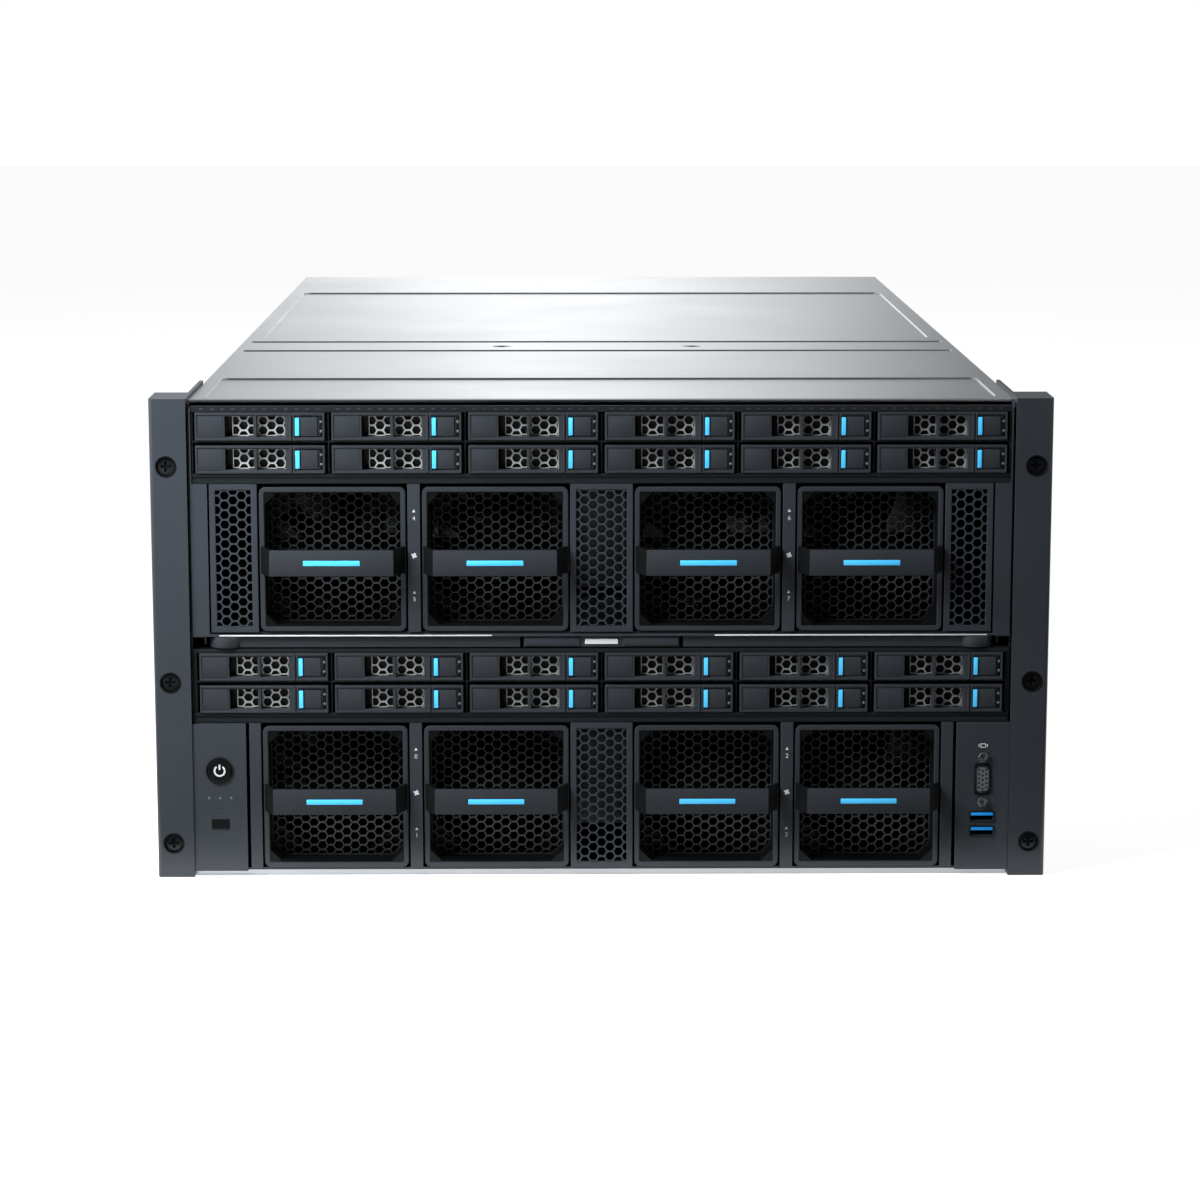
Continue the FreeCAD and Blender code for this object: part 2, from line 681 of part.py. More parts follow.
# Chassis tub: floor, side walls with a ledge on each for the sled, front hem and the pierced rear wall
ledge_top = f"({SLED_LOW} - slide_gap)"
ledge_low, ledge_under = f"({ledge_top} - ledge_height)", f"({ledge_top} - ledge_sheet)"
ledge_in = f"({INNER_HALF} - ledge_width)"
fold_in = f"({ledge_in} + ledge_sheet)"
right_half = [
    (BODY_HALF, "0"), (BODY_HALF, LID_LOW), (INNER_HALF, LID_LOW), (INNER_HALF, ledge_top),
    (ledge_in, ledge_top), (ledge_in, ledge_low), (fold_in, ledge_low), (fold_in, ledge_under),
    (INNER_HALF, ledge_under), (INNER_HALF, "sheet"),
]
left_half = [(f"-{x}", z) for x, z in reversed(right_half)]
tub = new_body("tub")
extrude(tub, "XZ", "tub_front", "body_depth - tub_front", [right_half + left_half])
extrude(tub, "XZ", "tub_front", "hem_depth", [rect(f"-{INNER_HALF}", "0", INNER_HALF, "hem_height")])
supply_x = [f"({index - (SUPPLIES - 1) / 2} * psu_pitch)" for index in range(SUPPLIES)]
supply_top = "(sheet + slide_gap + psu_height + psu_gap)"
rear_holes = [rect(f"{x} - psu_width / 2 - psu_gap", "sheet", f"{x} + psu_width / 2 + psu_gap", supply_top)
              for x in supply_x]
extrude(tub, "XZ", "body_depth - sheet", "sheet", [rect(f"-{INNER_HALF}", "0", INNER_HALF, LID_LOW)])
vent_top, side_vent_top = "(vent_low + vent_tall)", "(side_vent_low + side_vent_tall)"
for left, right, low, top in (
        (f"(vent_edge - {INNER_HALF})", "(-vent_gap / 2)", "vent_low", vent_top),
        ("(vent_gap / 2)", f"({INNER_HALF} - vent_edge)", "vent_low", vent_top),
        (f"(vent_edge - {INNER_HALF})", f"(vent_edge + side_vent_width - {INNER_HALF})",
         "side_vent_low", side_vent_top),
        (f"({INNER_HALF} - vent_edge - side_vent_width)", f"({INNER_HALF} - vent_edge)",
         "side_vent_low", side_vent_top)):
    rear_holes.append(rect(left, low, right, top))
extrude(tub, "XZ", "body_depth - sheet", "sheet", rear_holes, cut=True)
slot_x = [f"({index - (EXPANSION_SLOTS - 1) / 2} * slot_pitch)" for index in range(EXPANSION_SLOTS)]
slot_covers = [rect(f"{x} - slot_width / 2", "slot_low", f"{x} + slot_width / 2", "slot_low + slot_height")
               for x in slot_x]
extrude(tub, "XZ", "body_depth", "slot_emboss", slot_covers)
node("chassis_tub", [tub])

# Top cover: sheet with a folded front lip and shallow embossed panels
lid = new_body("lid")
extrude(lid, "YZ", f"-{BODY_HALF}", f"2 * {BODY_HALF}", [[
    ("lid_front", f"{BODY_TOP} - lip_height"), ("lid_front + lid_sheet", f"{BODY_TOP} - lip_height"),
    ("lid_front + lid_sheet", LID_LOW), ("body_depth", LID_LOW),
    ("body_depth", BODY_TOP), ("lid_front", BODY_TOP),
]])
front_half, rear_half = f"({BODY_HALF} - panel_inset)", f"({BODY_HALF} - rear_panel_inset)"
rib_half = f"({BODY_HALF} - rib_inset)"
panels = [
    rect(f"-{front_half}", "lid_front + front_panel", front_half, "front_panel_back"),
    rect(f"-{rib_half}", "rib_front", rib_half, "rib_front + rib_width"),
    rect(f"-{rib_half}", "rib_rear", rib_half, "rib_rear + rib_width"),
    rect(f"-{rear_half}", "rear_panel", rear_half, "rear_panel_back"),
    many_sided(("-dimple_spread / 2", "dimple_set"), "dimple_radius", DIMPLE_SIDES),
    many_sided(("dimple_spread / 2", "dimple_set"), "dimple_radius", DIMPLE_SIDES),
]
extrude(lid, "XY", f"{BODY_TOP} - emboss", "emboss", panels, cut=True)
node("top_cover", [lid])


def ear(name, side):
    """Rack ear: hollow block beside the chassis with a flange along its wall and three screw holes."""
    body = new_body(f"{name}_body")
    inside, outside = f"{side}{BODY_HALF}", f"{side}({BODY_HALF} + ear_width)"
    flange = f"{side}({BODY_HALF} + ear_flange_sheet)"
    hollow = f"{side}({BODY_HALF} + ear_width - ear_wall)"
    end = "(ear_depth + ear_flange)"
    tall = f"({BODY_TOP} + ear_rise - ear_base)"
    extrude(body, "XY", "ear_base", tall, [[
        (inside, "0"), (outside, "0"), (outside, "ear_depth"),
        (flange, "ear_depth"), (flange, end), (inside, end),
    ]])
    middle = number(f"{BODY_HALF} + ear_width / 2")
    round_edges(body, "ear_corner", Vector(0, 0, 1),
                lambda edge: edge.Vertexes[0].Y < TINY and abs(edge.Vertexes[0].X) > middle)
    extrude(body, "XY", "ear_base + ear_wall", f"{tall} - 2 * ear_wall",
            [rect(inside, "ear_wall", hollow, "ear_depth - ear_wall")], cut=True)
    cups = [many_sided((f"{side}{HOLE_X}", height), "cup_radius", CUP_SIDES) for height in HOLE_HEIGHTS]
    bores = [many_sided((f"{side}{HOLE_X}", height), "(screw_radius + screw_gap)", HEAD_SIDES)
             for height in HOLE_HEIGHTS]
    extrude(body, "XZ", "0", "ear_wall", cups, cut=True)
    extrude(body, "XZ", "ear_depth - ear_wall", "ear_wall", bores, cut=True)
    node(name, [body])


ear("rack_ear_left", "-")
ear("rack_ear_right", "")

# Captive screws: a head inside the cup of the ear, a neck and the thread that stands out behind it
screws = []
for side in ("-", ""):
    for height in HOLE_HEIGHTS:
        screw = new_body("screw")
        spot = (f"{side}{HOLE_X}", height)
        extrude(screw, "XZ", "head_set", "head_depth", [many_sided(spot, "head_radius", HEAD_SIDES)])
        neck = many_sided(spot, "neck_radius", NECK_SIDES)
        extrude(screw, "XZ", "head_set", "ear_depth - head_set", [neck])
        extrude(screw, "XZ", "ear_depth", "screw_reach", [ring(spot, "screw_radius")])
        screws.append(screw)
node("rack_screws", screws)

# Control panel: face plate with two button holes and the switch housing behind it
panel_middle = f"({PANEL_EDGE} + panel_width / 2)"
panel_run = "cage_front - panel_front"
square_half, square_rise = "square_width / 2", "square_tall / 2"
plate = solid("control_plate", "XZ", "panel_front", panel_run, [
    rect(f"-{BODY_HALF}", "panel_low", f"-{PANEL_EDGE}", PANEL_TOP),
    ring((f"-{panel_middle}", "power_height"), "power_radius + button_gap"),
    rect(f"-{panel_middle} - {square_half} - button_gap", f"square_height - {square_rise} - button_gap",
         f"-{panel_middle} + {square_half} + button_gap", f"square_height + {square_rise} + button_gap"),
])
housing = solid("switch_housing", "XZ", "cage_front", "housing_depth", [
    rect(f"-{BAYS_HALF}", "fan_floor + housing_inset",
         f"-{PANEL_EDGE} - panel_gap", f"{BAR_LOW} - housing_inset")])
node("control_panel", [plate, housing])
power = solid("power_cap", "XZ", "panel_front - button_reach", "power_depth",
              [ring((f"-{panel_middle}", "power_height"), "power_radius")])
node("power_button", [power])
square = solid("square_cap", "XZ", "panel_front - button_reach", "square_depth", [
    rect(f"-{panel_middle} - {square_half}", f"square_height - {square_rise}",
         f"-{panel_middle} + {square_half}", f"square_height + {square_rise}")])
node("uid_button", [square])

# Connector panel: face plate, monitor socket with its jack posts, two USB shells and their board
monitor_half, monitor_rise = "monitor_width / 2", "monitor_tall / 2"
monitor_shape = [
    (f"{panel_middle} - {monitor_half}", f"monitor_height - {monitor_rise} + monitor_taper"),
    (f"{panel_middle} + {monitor_half}", f"monitor_height - {monitor_rise}"),
    (f"{panel_middle} + {monitor_half}", f"monitor_height + {monitor_rise}"),
    (f"{panel_middle} - {monitor_half}", f"monitor_height + {monitor_rise} - monitor_taper"),
]
usb_heights = ("usb_upper", "usb_lower")


def usb_shape(height, inset):
    """Outline of a USB shell, drawn in by an inset."""
    return rect(f"{panel_middle} - usb_width / 2 + {inset}", f"{height} - usb_tall / 2 + {inset}",
                f"{panel_middle} + usb_width / 2 - {inset}", f"{height} + usb_tall / 2 - {inset}")


io_pieces = [
    solid("io_plate", "XZ", "panel_front", panel_run,
          [rect(PANEL_EDGE, "panel_low", BODY_HALF, PANEL_TOP), monitor_shape,
           *[usb_shape(height, "0") for height in usb_heights]]),
    solid("monitor_socket", "XZ", "panel_front", "socket_back - panel_front", [monitor_shape]),
    solid("socket_board", "XZ", "socket_back", "socket_board", [
        rect(f"{PANEL_EDGE} + housing_inset", "fan_floor + housing_inset",
             f"{BAYS_HALF} - housing_inset", f"{BAR_LOW} - housing_inset")]),
]
for height in usb_heights:
    io_pieces.append(solid("usb_shell", "XZ", "panel_front", "socket_back - panel_front",
                           [usb_shape(height, "0"), usb_shape(height, "usb_wall")]))
    tongue_top = f"{height} + usb_tall / 2 - usb_wall - tongue_inset"
    io_pieces.append(solid("usb_tongue", "XZ", "cage_front", "socket_back - cage_front", [
        rect(f"{panel_middle} - usb_width / 2 + usb_wall + tongue_inset", f"{tongue_top} - tongue_tall",
             f"{panel_middle} + usb_width / 2 - usb_wall - tongue_inset", tongue_top)]))
for sign in ("+", "-"):
    io_pieces.append(solid("jack_post", "XZ", "panel_front - jack_reach", "jack_reach", [
        many_sided((panel_middle, f"monitor_height {sign} jack_spread / 2"), "jack_radius", JACK_SIDES)]))
node("io_panel", io_pieces)

# System board: circuit board on standoffs, finned heat sinks and rows of memory
board_top = "(standoff_height + board_sheet)"
board_back = "(board_front + board_length)"
board_pieces = [solid("circuit_board", "XY", "standoff_height", "board_sheet",
                      [rect("-board_width / 2", "board_front", "board_width / 2", board_back)])]
far_x, mid_y = "(board_width / 2 - standoff_inset)", f"((board_front + {board_back}) / 2)"
spots = [(f"{side}{far_x}", depth) for side in ("-", "")
         for depth in ("(board_front + standoff_inset)", mid_y, f"({board_back} - standoff_inset)")]
board_pieces += [solid("standoff", "XY", "0", "standoff_height", [rect(
    f"{x} - standoff_radius", f"{y} - standoff_radius", f"{x} + standoff_radius", f"{y} + standoff_radius")])
    for x, y in spots]


def sink_profile(middle):
    """Comb outline of a heat sink: a base with upright fins."""
    left = f"({middle} - sink_width / 2)"
    step = f"((sink_width - sink_fin) / {FINS - 1})"
    top, floor = f"({board_top} + sink_height)", f"({board_top} + sink_base)"
    corners = [(left, board_top), (f"{left} + sink_width", board_top)]
    for fin in reversed(range(FINS)):
        edge = f"({left} + {fin} * {step})"
        corners += [(f"{edge} + sink_fin", top), (edge, top)]
        if fin:
            corners += [(edge, floor), (f"{edge} - {step} + sink_fin", floor)]
    return corners


for x in ("(-sink_spread / 2)", "(sink_spread / 2)"):
    for row in range(2):
        sink_front = f"(board_front + sink_set + {row} * sink_step)"
        board_pieces.append(solid("heat_sink", "XZ", sink_front, "sink_length", [sink_profile(x)]))
        for index in range(MEMORY_STICKS):
            bank = f"({x} + sink_width / 2 + {index + 1} * stick_pitch)"
            board_pieces.append(solid("memory_stick", "XY", board_top, "stick_height", [
                rect(bank, sink_front, f"{bank} + stick_sheet", f"{sink_front} + stick_length")]))
midplane = solid("midplane", "XZ", MIDPLANE, "midplane_sheet", [
    rect(f"midplane_inset - {INNER_HALF}", "sheet", f"{INNER_HALF} - midplane_inset", "midplane_rise")])


def populated_board(name, height):
    """The circuit board with all that stands on it, set on a floor at a height."""
    board = doc.addObject("Part::Compound", name)
    board.Links = board_pieces
    board.setExpression("Placement.Base.z", cells(height))
    return board


node("lower_system_board",
     [populated_board("lower_board", "sheet"), backplane("lower_backplane"), midplane])
node("upper_system_board",
     [populated_board("upper_board", CAGE_LOW), backplane("upper_backplane")], z=MODULE_PITCH)

# Drives and fan modules of both modules
for module, zero in (("upper", MODULE_PITCH), ("lower", "0")):
    for row in range(ROWS):
        for column in range(COLUMNS):
            place = (ROWS - 1 - row) * COLUMNS + column + 1
            node(f"{module}_drive_{place:02d}", [carrier, disk, latch],
                 x=bay_x(column), z=f"{zero} + {bay_z(row)}")
    fan_x = (f"-({FAN_INNER} + {FAN_STEP})", f"-{FAN_INNER}", FAN_INNER, f"({FAN_INNER} + {FAN_STEP})")
    for index, x in enumerate(fan_x, start=1):
        node(f"{module}_fan_{index}", [frame, strap], x=x, z=f"{zero} + {FAN_HEIGHT}")
        node(f"{module}_rotor_{index}", [rotor], x=x, z=f"{zero} + {FAN_HEIGHT}")

# Power supplies: body with a mains inlet recess and a bow handle
supply = solid("supply_body", "XZ", PSU_FRONT, "psu_length",
               [rect("-psu_width / 2", "0", "psu_width / 2", "psu_height")])
inlet = rect("-inlet_shift - inlet_width / 2", "psu_height / 2 - inlet_height / 2",
             "-inlet_shift + inlet_width / 2", "psu_height / 2 + inlet_height / 2")
extrude(supply, "XZ", "body_depth - inlet_depth", "inlet_depth", [inlet], cut=True)
grip_low, grip_high = "(psu_height / 2 - grip_tall / 2)", "(psu_height / 2 + grip_tall / 2)"
grip_end = "(body_depth + psu_reach)"
bow = solid("supply_grip", "YZ", "grip_shift - bow_width / 2", "bow_width", [[
    ("body_depth", grip_low), (grip_end, grip_low), (grip_end, grip_high), ("body_depth", grip_high),
    ("body_depth", f"{grip_high} - grip_sheet"), (f"{grip_end} - grip_sheet", f"{grip_high} - grip_sheet"),
    (f"{grip_end} - grip_sheet", f"{grip_low} + grip_sheet"), ("body_depth", f"{grip_low} + grip_sheet"),
]])
for index, x in enumerate(supply_x, start=1):
    node(f"power_supply_{index}", [supply, bow], x=x, z="sheet + slide_gap")

doc.recompute()
for item in doc.Objects:
    if {"Invalid", "Error"} & set(item.State):
        raise RuntimeError(f"{item.Name} failed: {item.State}")
for item in nodes:
    if item.Shape.isNull() or not item.Shape.isValid():
        raise RuntimeError(f"{item.Label} has no valid shape")
os.makedirs("parts", exist_ok=True)
for item in nodes:
    item.Shape.exportStep(f"parts/{item.Label}.step")
print(len(nodes), "pieces written")
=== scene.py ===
import bpy
import numpy as np
from bpy.props import FloatProperty, FloatVectorProperty, PointerProperty
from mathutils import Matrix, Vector


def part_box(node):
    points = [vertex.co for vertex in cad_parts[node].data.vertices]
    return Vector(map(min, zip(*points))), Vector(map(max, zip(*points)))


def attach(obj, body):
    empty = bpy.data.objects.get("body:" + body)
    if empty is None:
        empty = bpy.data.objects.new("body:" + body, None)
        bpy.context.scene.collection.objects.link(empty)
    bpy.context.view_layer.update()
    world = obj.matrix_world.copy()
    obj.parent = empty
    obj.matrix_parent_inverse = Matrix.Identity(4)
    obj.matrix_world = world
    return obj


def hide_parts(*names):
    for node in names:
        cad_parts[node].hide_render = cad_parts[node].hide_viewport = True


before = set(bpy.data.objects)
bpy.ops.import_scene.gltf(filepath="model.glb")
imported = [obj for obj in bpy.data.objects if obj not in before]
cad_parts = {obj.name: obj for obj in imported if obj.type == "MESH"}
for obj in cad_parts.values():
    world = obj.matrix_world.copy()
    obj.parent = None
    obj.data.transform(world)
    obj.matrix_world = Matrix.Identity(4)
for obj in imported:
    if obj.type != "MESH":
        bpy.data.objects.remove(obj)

bl_info = {
    "name": "Rack server dressing",
    "version": (1, 0, 0),
    "blender": (4, 5, 0),
    "location": "3D View > Sidebar > Rack server",
    "description": "Finishes, grilles, drive faces, marks and studio for the packed rack server",
    "category": "Object",
}

BODY_OF = {"upper": "sled", "lower": "chassis"}
# Finishes that pieces share
ABS, PBT, LENS = "grained_moulded_abs", "polished_black_pbt", "frosted_polycarbonate_lens"
NICKEL, ZINC, COAT = "nickel_plated_steel", "zinc_plated_sheet", "powder_coated_steel"
PRINT, PHOSPHATE = "screen_printed_ink", "phosphated_steel"
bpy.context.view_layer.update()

# Millimetres of the shared frame: depths are counted back from the front plane of the ears
EAR_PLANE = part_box("rack_ear_left")[0].y * 1000
MODULE_LIFT = {"lower": 0.0, "upper": (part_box("upper_fan_1")[0].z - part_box("lower_fan_1")[0].z) * 1000}
DRIVE_COLUMNS, DRIVE_ROWS, DRIVE_PITCH = 6, 2, 72.9
BEZEL_HALF = 34.675
STRAP_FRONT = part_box("upper_fan_1")[0].y * 1000 - EAR_PLANE
FAN_COLUMNS, FAN_FRONT = 4, 3.0
POST_MARKS_X, POST_FRONT = 100.6, 2.0


def srgb(text):
    """Linear colour of an sRGB hex value."""
    value = np.array([int(text[i:i + 2], 16) for i in (0, 2, 4)]) / 255
    return tuple(np.where(value <= 0.04045, value / 12.92, ((value + 0.055) / 1.055) ** 2.4))


def length(title, words, millimetres):
    """A size that a user may change, kept in metres."""
    return FloatProperty(name=title, description=words, default=millimetres / 1000, unit="LENGTH",
                         precision=5)


def tint(title, words, text):
    """A colour that a user may change."""
    return FloatVectorProperty(name=title, description=words, default=srgb(text), subtype="COLOR",
                               min=0, max=1)


class ServerSizes(bpy.types.PropertyGroup):
    """Sizes of the pieces that dress the server."""
    lip_side: length("Lip side", "Side of the grey lip round a fan's mouth", 78.4)
    lip_band: length("Lip band", "Width of the grey lip round a fan's mouth", 2.7)
    guard_pitch: length("Guard pitch", "Height of a fan guard's hexagons", 5.15)
    guard_web: length("Guard web", "Web between a fan guard's hexagons", 0.7)
    guard_set: length("Guard set", "Depth of a fan guard behind the ears", 18)
    guard_half: length("Guard half", "Half the width of a fan guard", 36.1)
    guard_thick: length("Guard thickness", "Thickness of a fan guard", 2.5)
    guard_cut: length("Guard cut", "Length cut from each corner of a fan guard", 6.5)
    panel_pitch: length("Panel pitch", "Height of the air panels' hexagons", 5.25)
    panel_web: length("Panel web", "Web between the air panels' holes", 0.85)
    mesh_pitch: length("Mesh pitch", "Height of the cells of a drive's mesh", 5.2)
    mesh_web: length("Mesh web", "Web between the cells of a drive's mesh", 0.8)
    vent_pitch: length("Vent pitch", "Height of the rear vents' hexagons", 6.4)
    vent_web: length("Vent web", "Web between the rear vents' holes", 1.2)
    grille_pitch: length("Grille pitch", "Height of the hexagons of a supply's grille", 3.9)
    grille_web: length("Grille web", "Web between the holes of a supply's grille", 0.8)
    bar_length: length("Bar length", "Length of the blue bar on a fan strap", 30.2)
    bar_height: length("Bar height", "Height of the blue bar on a fan strap", 2.8)
    edge_break: length("Edge break", "Width of the rounded edges of sheet metal and mouldings", 0.3)
    lid_recess: length("Lid recess", "Depth of the panels pressed into the lid", 0.95)
    lens: length("Lens", "Focal length of the camera", 101.9)


class ServerColours(bpy.types.PropertyGroup):
    """Colours of the server's finishes."""
    coat: tint("Coat", "Powder coat of ears, panels and posts", "2b3036")
    # Dark coat: the real plate behind the centre panels, and painted shade in the cage's gaps round the
    # drives
    coat_dark: tint("Dark coat", "Coat round the drives and behind the centre panels", "15181b")
    abs_grey: tint("Moulding", "Moulded bezels, fan lips and strap faces", "282c31")
    # Black moulding also colours the painted shade behind the drive windows
    abs_black: tint("Black moulding", "Rotors, housings and buttons", "0b0c0d")
    zinc: tint("Sheet", "Zinc-plated sheet of the lid and the chassis", "aeb3b7")
    nickel: tint("Nickel", "Socket rims, posts and tabs", "b4b6b8")
    mesh: tint("Mesh", "Stainless mesh in the drive bezels", "ccd0d2")
    phosphate: tint("Phosphate", "Phosphated steel of the fan guards", "2a2d2f")
    frost: tint("Frosted lens", "Unlit lamps and the socket insert", "54585b")
    # The blue bar's colour also feeds its painted glow
    cyan: tint("Blue bar", "Light blue bars of the straps and latches", "45b4ea")
    # The socket blue also feeds the tongues' painted glow
    socket: tint("Socket blue", "Tongues of the data sockets", "0f86d8")
    blasted: tint("Blasted nickel", "Latch tab and bare edges of the tray", "d8dadc")
    ink: tint("Ink", "Pale printed marks", "b4b8bb")
    board: tint("Board", "Solder resist of the boards", "1f4a34")
    floor: tint("Floor", "Floor and backdrop", "b8b8b8")


def sizes(context):
    """Sizes in millimetres by name."""
    group = context.scene.server_sizes
    return {name: getattr(group, name) * 1000 for name in ServerSizes.__annotations__}


def node_middle(name):
    """Middle of a CAD node, across and up, in millimetres."""
    low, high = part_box(name)
    return (low.x + high.x) * 500, (low.z + high.z) * 500


# Surfaces

# Honeycombs: cells tried, reach past sides and corners in pitches, growth and share of round holes
CELLS_TRIED, SIDE_REACH, CORNER_REACH, ROUND_GROWTH, PUNCHED = 60, 0.28, 0.4, 1.04, 0.45
# Smallest corner, and how far trim is let into what it stands on
LEAST_RADIUS, SINK = 0.02, 0.05


def turns(sides):
    """Equal steps of a full turn."""
    return np.arange(sides) * 2 * np.pi / sides


def around(turn):
    """Unit circle: the cosine of each turn across and its sine up."""
    return np.stack([np.cos(turn), np.sin(turn)], -1)


def spaced(count, pitch):
    """Places at equal steps about the middle."""
    return (np.arange(count) - (count - 1) / 2) * pitch


def level(across, up):
    """Spots at one height."""
    return np.stack([across, np.full(len(across), up)], -1)


def behind(profile, depth):
    """The same profile, set back by a depth."""
    return [(first, depth + second) for first, second in profile]


def outline(half_x, half_z, radius, arc=4):
    """Rounded rectangle: quarter circles of the radius about four inner corners, joined by straight sides."""
    half_x, half_z, radius = np.broadcast_arrays(half_x, half_z, np.asarray(radius, float))
    turn = (np.arange(4)[:, None] + np.linspace(0, 1, arc + 1)) * np.pi / 2
    signs = np.array([(1, 1), (-1, 1), (-1, -1), (1, -1)], float)[:, None]
    inner = np.stack([half_x - radius, half_z - radius], -1)[..., None, None, :]
    ring = signs * inner + around(turn) * radius[..., None, None, None]
    return ring.reshape(*radius.shape, -1, 2)


def carried(spots, rings, depths):
    """Outlines carried back: each spot adds its place to every ring, which lies at its own depth."""
    spots = np.atleast_2d(np.asarray(spots, float))
    points = np.empty((len(spots),) + rings.shape[:2] + (3,))
    points[..., 0] = spots[:, None, None, 0] + rings[..., 0]
    points[..., 1] = np.reshape(depths, (len(rings), -1))
    points[..., 2] = spots[:, None, None, 1] + rings[..., 1]
    return points


def room(corners):
    """Six times the volume between the origin and polygons, each a fan of triangles from its first corner."""
    return np.einsum("ij,ikj->", corners[:, 0], np.cross(corners[:, 1:-1], corners[:, 2:]))


def skin(points, looped=False):
    """Closed shells over rings: quads join neighbours; the last ring meets the first, or both get a cap."""
    shells, steps, count = points.shape[:3]
    index = np.arange(shells * steps * count).reshape(shells, steps, count)
    near, far = (index, np.roll(index, -1, 1)) if looped else (index[:, :-1], index[:, 1:])
    quads = np.stack([near, far, np.roll(far, -1, 2), np.roll(near, -1, 2)], -1).reshape(-1, 4)
    caps = np.empty((0, count), int) if looped else np.concatenate([index[:, 0], index[:, -1, ::-1]])
    flat = points.reshape(-1, 3)
    about = flat - flat.mean(0)
    turn = slice(None, None, 1 if room(about[quads]) + room(about[caps]) > 0 else -1)
    return flat, quads[:, turn].tolist() + caps[:, turn].tolist()


def plates(spots, width, height, profile, corner=0.5, arc=3, looped=False):
    """Rounded plates: a rectangle's outline, drawn in by each inset of the profile, at that step's depth."""
    inset, depth = np.asarray(profile, float).T
    radius = np.maximum(corner - inset, LEAST_RADIUS)
    return skin(carried(spots, outline(width / 2 - inset, height / 2 - inset, radius, arc), depth), looped)


def turned(spots, profile, sides, looped=False):
    """Turned shapes: the circle of each radius of the profile, at that step's depth."""
    radius, depth = np.asarray(profile, float).T
    return skin(carried(spots, radius[:, None, None] * around(turns(sides)), depth), looped)


def printed(ring, front, back, spot=(0, 0)):
    """A thin mark: one outline carried from its back to its front."""
    return skin(carried(spot, np.stack([ring, ring]), (back, front)))


def honeycomb(low, high, size, kind, front, back, round_share=0.0, cut=0.0):
    """Honeycomb between two corners: staggered hexagons, each a closed frame from its edge to its hole, which
    is a hexagon mixed with a circle; points past the box, or past its cut corners, are drawn in."""
    pitch, web = size[f"{kind}_pitch"], size[f"{kind}_web"]
    low, high = np.asarray(low, float), np.asarray(high, float)
    middle, half, spread = (low + high) / 2, (high - low) / 2, pitch * np.sqrt(3) / 2
    tried = np.arange(-CELLS_TRIED, CELLS_TRIED + 1)
    column, row = (grid.ravel() for grid in np.meshgrid(tried, tried))
    centres = np.stack([column * spread, (row + (column % 2) / 2) * pitch], -1)
    near = (np.abs(centres) < half + pitch * SIDE_REACH).all(1)
    near &= np.abs(centres).sum(1) < half.sum() - cut + pitch * CORNER_REACH
    centres = centres[near]
    sides = 6 if round_share == 0 else 12
    turn = turns(sides)
    edge = np.cos(np.pi / 6) / np.cos(turn % (np.pi / 3) - np.pi / 6)
    hole = (1 - round_share) * edge + round_share * np.cos(np.pi / 6) * ROUND_GROWTH
    reach = np.stack([edge * pitch, hole * (pitch - web)])[..., None] / np.sqrt(3)
    rings = centres[:, None, None] + reach * around(turn)
    margin = np.array([0.0, web / 2])[:, None, None]
    rings = np.clip(rings, margin - half, half - margin)
    over = np.abs(rings).sum(-1, keepdims=True) - (half.sum() - cut - margin)
    rings -= np.sign(rings) * np.maximum(over, 0) / 2
    points = np.empty((len(centres), 4, sides, 3))
    points[..., [0, 2]] = middle + rings[:, [0, 1, 1, 0]]
    points[..., 1] = np.array([front, front, back, back])[:, None]
    return skin(points, looped=True)


def frames(spots, width, height, band, front, back, corner=0.6, soft=0.2):
    """Raised frames: a looped profile, outer wall, rounded face and inner wall, carried round a rectangle."""
    face = [(0, front + soft), (soft, front), (band - soft, front), (band, front + soft)]
    return plates(spots, width, height, [(0, back), *face, (band, back)], corner, looped=True)


def slab(spots, width, height, front, back, corner=0.5, soft=0.15):
    """Plate with a rounded front edge."""
    profile = [(0, back), (0, front + soft), (soft * 0.3, front + soft * 0.3), (soft, front)]
    return plates(spots, width, height, profile, corner)


def arc_band(spot, radius, width, first, last, front, back):
    """Part of a printed ring: the outer radius one way through the given degrees, the inner radius back."""
    way = around(np.radians(np.linspace(first, last, 30)))
    ring = np.concatenate([(radius + width / 2) * way, (radius - width / 2) * way[::-1]])
    return printed(ring, front, back, spot)


def moved(parts, x, z):
    """The same parts with their finishes, set across and up."""
    return [((points + (x, 0, z), faces), material) for (points, faces), material in parts]


def sideways(part, side):
    """The same part on a side wall: its depth points out to the left (-1) or right (1), its width back."""
    points, faces = part
    laid = np.stack([side * points[:, 1], points[:, 0], points[:, 2]], -1)
    return laid, [face[::-1] for face in faces] if side > 0 else faces


def piece(name, parts, body, sharp=35):
    """One object from parts in millimetres, each with its finish, riding on a body of the frame."""
    points, faces = np.empty((0, 3)), []
    for (vertices, polygons), _ in parts:
        faces += [[corner + len(points) for corner in polygon] for polygon in polygons]
        points = np.concatenate([points, vertices])
    mesh = bpy.data.meshes.new(name)
    mesh.from_pydata(((points + (0, EAR_PLANE, 0)) / 1000).tolist(), [], faces)
    finishes = list(dict.fromkeys(material for _, material in parts))
    for material in finishes:
        mesh.materials.append(bpy.data.materials[material])
    marks = np.concatenate([np.full(len(part[1]), finishes.index(material)) for part, material in parts])
    mesh.polygons.foreach_set("material_index", marks)
    mesh.polygons.foreach_set("use_smooth", np.ones(len(faces), bool))
    mesh.update()
    mesh.set_sharp_from_angle(angle=np.radians(sharp))
    thing = bpy.data.objects.new(name, mesh)
    bpy.context.scene.collection.objects.link(thing)
    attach(thing, body)
    return thing


# Materials

# Range of the noise that makes patches, and how far the gloss swings with it
PATCH_RANGE, GLOSS_SWING = (0.3, 0.7), 0.07
WELD_REACH, BEVEL_ANGLE = 0.00001, 40


def surface(name):
    """A material with no nodes yet, and its node tree."""
    material = bpy.data.materials.new(name)
    material.use_nodes = True
    material.node_tree.nodes.clear()
    return material, material.node_tree


